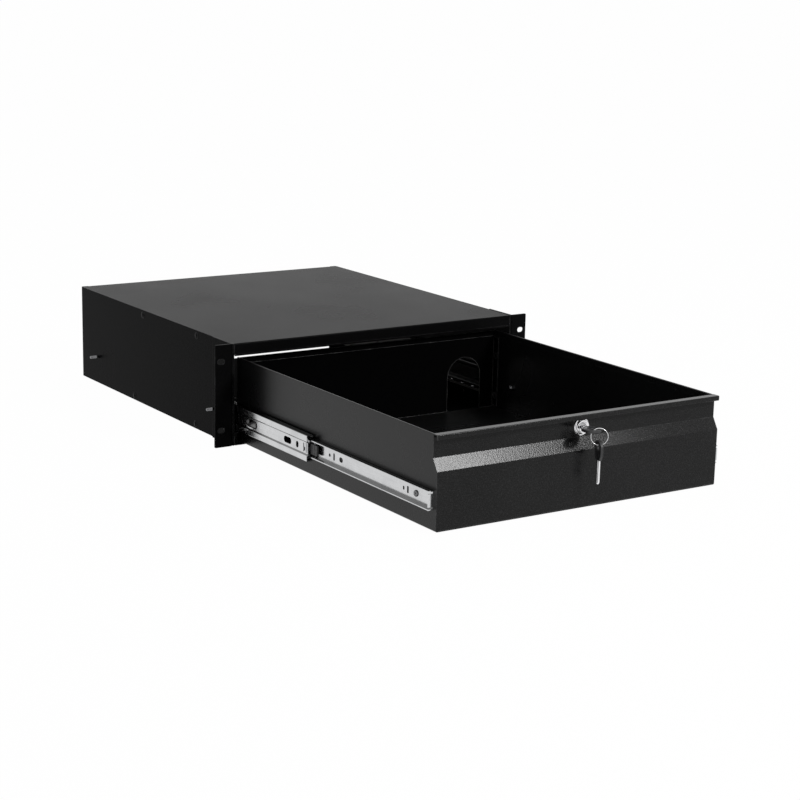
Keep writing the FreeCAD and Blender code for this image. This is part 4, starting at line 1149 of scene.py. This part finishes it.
@dataclass
class Lamp:
    """A softbox aimed at the object, given by the radiance of its face."""

    name: str
    place: Triple
    target: Triple
    width: float
    height: float
    radiance: float

    def hang(self) -> None:
        """Add the lamp to the scene."""
        data = bpy.data.lights.new(self.name, "AREA")
        data.shape = "RECTANGLE"
        data.size, data.size_y = self.width, self.height
        data.energy = self.radiance * math.pi * self.width * self.height
        lamp = bpy.data.objects.new(self.name, data)
        bpy.context.collection.objects.link(lamp)
        way = Vector(self.target) - Vector(self.place)
        turn = way.to_track_quat("-Z", "Y").to_matrix().to_4x4()
        lamp.matrix_world = Matrix.Translation(self.place) @ turn


@dataclass
class Studio:
    """Pale floor, soft lamps and the camera."""

    floor: Floor
    camera_place: Triple = (-1.32107, -2.07694, 0.54775)
    azimuth: float = -0.5793374
    elevation: float = 0.2304791
    roll: float = 0.0214409
    lens: float = 85.67
    sensor: float = 36.0
    floor_gap: float = 0.0002
    floor_side: float = 100.0
    floor_depth: float = 0.02
    fill: float = 0.4

    def build(self) -> None:
        """Set the stage."""
        self.lay_floor()
        for lamp in self.lamps():
            lamp.hang()
        self.aim_camera()
        self.fill_world()
        bpy.context.scene.view_settings.view_transform = "Standard"

    def lay_floor(self) -> None:
        """A wide floor just under the object."""
        low = CAD_BOX[0][2] - self.floor_gap
        bench = Bench("floor").block((self.floor_side, self.floor_side, self.floor_depth),
                                     (0.0, 0.0, low - self.floor_depth / 2))
        dress(bench.piece, self.floor.material())

    def lamps(self) -> list[Lamp]:
        """The soft lamps."""
        return [
            Lamp("key_lamp", place=(1.10, -2.30, 1.66), target=(0.0, -0.44, 0.0),
                 width=0.9, height=0.55, radiance=40.0),
            Lamp("top_lamp", place=(-0.3, 0.6, 2.6), target=(0.0, 0.0, 0.0),
                 width=1.6, height=1.6, radiance=1.0),
        ]

    def aim_camera(self) -> None:
        """Place the camera by its azimuth, elevation and roll."""
        az, el, roll = self.azimuth, self.elevation, self.roll
        back = Vector((math.sin(az) * math.cos(el), -math.cos(az) * math.cos(el),
                       math.sin(el)))
        level = (-back).cross(Vector((0.0, 0.0, 1.0))).normalized()
        up = level.cross(-back)
        right = level * math.cos(roll) + up * math.sin(roll)
        above = up * math.cos(roll) - level * math.sin(roll)
        data = bpy.data.cameras.new("camera")
        data.lens = self.lens
        data.sensor_width = self.sensor
        camera = bpy.data.objects.new("camera", data)
        bpy.context.collection.objects.link(camera)
        turn = Matrix((right, above, back)).transposed().to_4x4()
        camera.matrix_world = Matrix.Translation(Vector(self.camera_place)) @ turn
        bpy.context.scene.camera = camera

    def fill_world(self) -> None:
        """White where it is seen, and a plain grey fill elsewhere."""
        world = bpy.data.worlds.new("studio")
        world.use_nodes = True
        bpy.context.scene.world = world
        tree = world.node_tree
        background = tree.nodes["Background"]
        mix = tree.nodes.new("ShaderNodeMix")
        mix.data_type = "RGBA"
        tree.links.new(seen_rays(tree), mix.inputs[MIX_FACTOR])
        mix.inputs[MIX_FIRST].default_value = (self.fill, self.fill, self.fill, 1.0)
        mix.inputs[MIX_SECOND].default_value = (1.0, 1.0, 1.0, 1.0)
        tree.links.new(mix.outputs[MIX_RESULT], background.inputs["Color"])
        background.inputs["Strength"].default_value = 1.0


def main() -> None:
    """Build every sub-assembly in order."""
    logging.basicConfig(level=logging.INFO, format="%(message)s")
    coat = PowderCoat("chassis_powder_coat")
    # interior coat: a darker copy of the powder coat as painted shade, with bright edges as a
    # painted highlight
    inner_coat = PowderCoat("inner_powder_coat", dark=(0.001, 0.001, 0.0011),
                            light=(0.002, 0.002, 0.0021), wear_and_highlight=(0.3, 0.3, 0.3),
                            index=1.02, roughness=0.6)
    drawer_coat = PowderCoat("drawer_powder_coat", index=1.31, roughness=0.28)
    front_coat = PowderCoat("front_powder_coat", index=1.25, roughness=0.17, pebble=760.0,
                            relief=0.00007, peel=1.6, dark=(0.0002, 0.0002, 0.0002),
                            light=(0.013, 0.013, 0.0132))
    zinc = PlatedSteel("zinc_plated_fasteners", stretch=(1.0, 1.0, 1.0),
                       colour=(0.3, 0.3, 0.31), shade=(0.05, 0.05, 0.052))
    fasteners = Fasteners()
    Chassis(coat, inner_coat, zinc).build(fasteners)
    DrawerBox(drawer_coat, front_coat, inner_coat, zinc).build(fasteners)
    Slides(PlatedSteel("slide_steel", painted_shade_amount=0.95),
           # outer members: a dark copy of the slide steel, painted shade for their place
           # inside the chassis
           PlatedSteel("shaded_slide_steel", colour=(0.02, 0.02, 0.021),
                       shade=(0.012, 0.012, 0.013), painted_shade_amount=0.6, roughness=0.6),
           PlatedSteel("cage_steel", colour=(0.2, 0.2, 0.2), shade=(0.1, 0.1, 0.1)),
           Chrome("ball_steel", roughness=0.06), BlackPlastic("lever_plastic")).build()
    FrontLock(Chrome("lock_chrome"), zinc).build()
    Keys(Chrome("key_nickel", roughness=0.16), BlackPlastic("key_plastic")).build()
    Studio(Floor()).build()


if __name__ == "__main__":
    main()
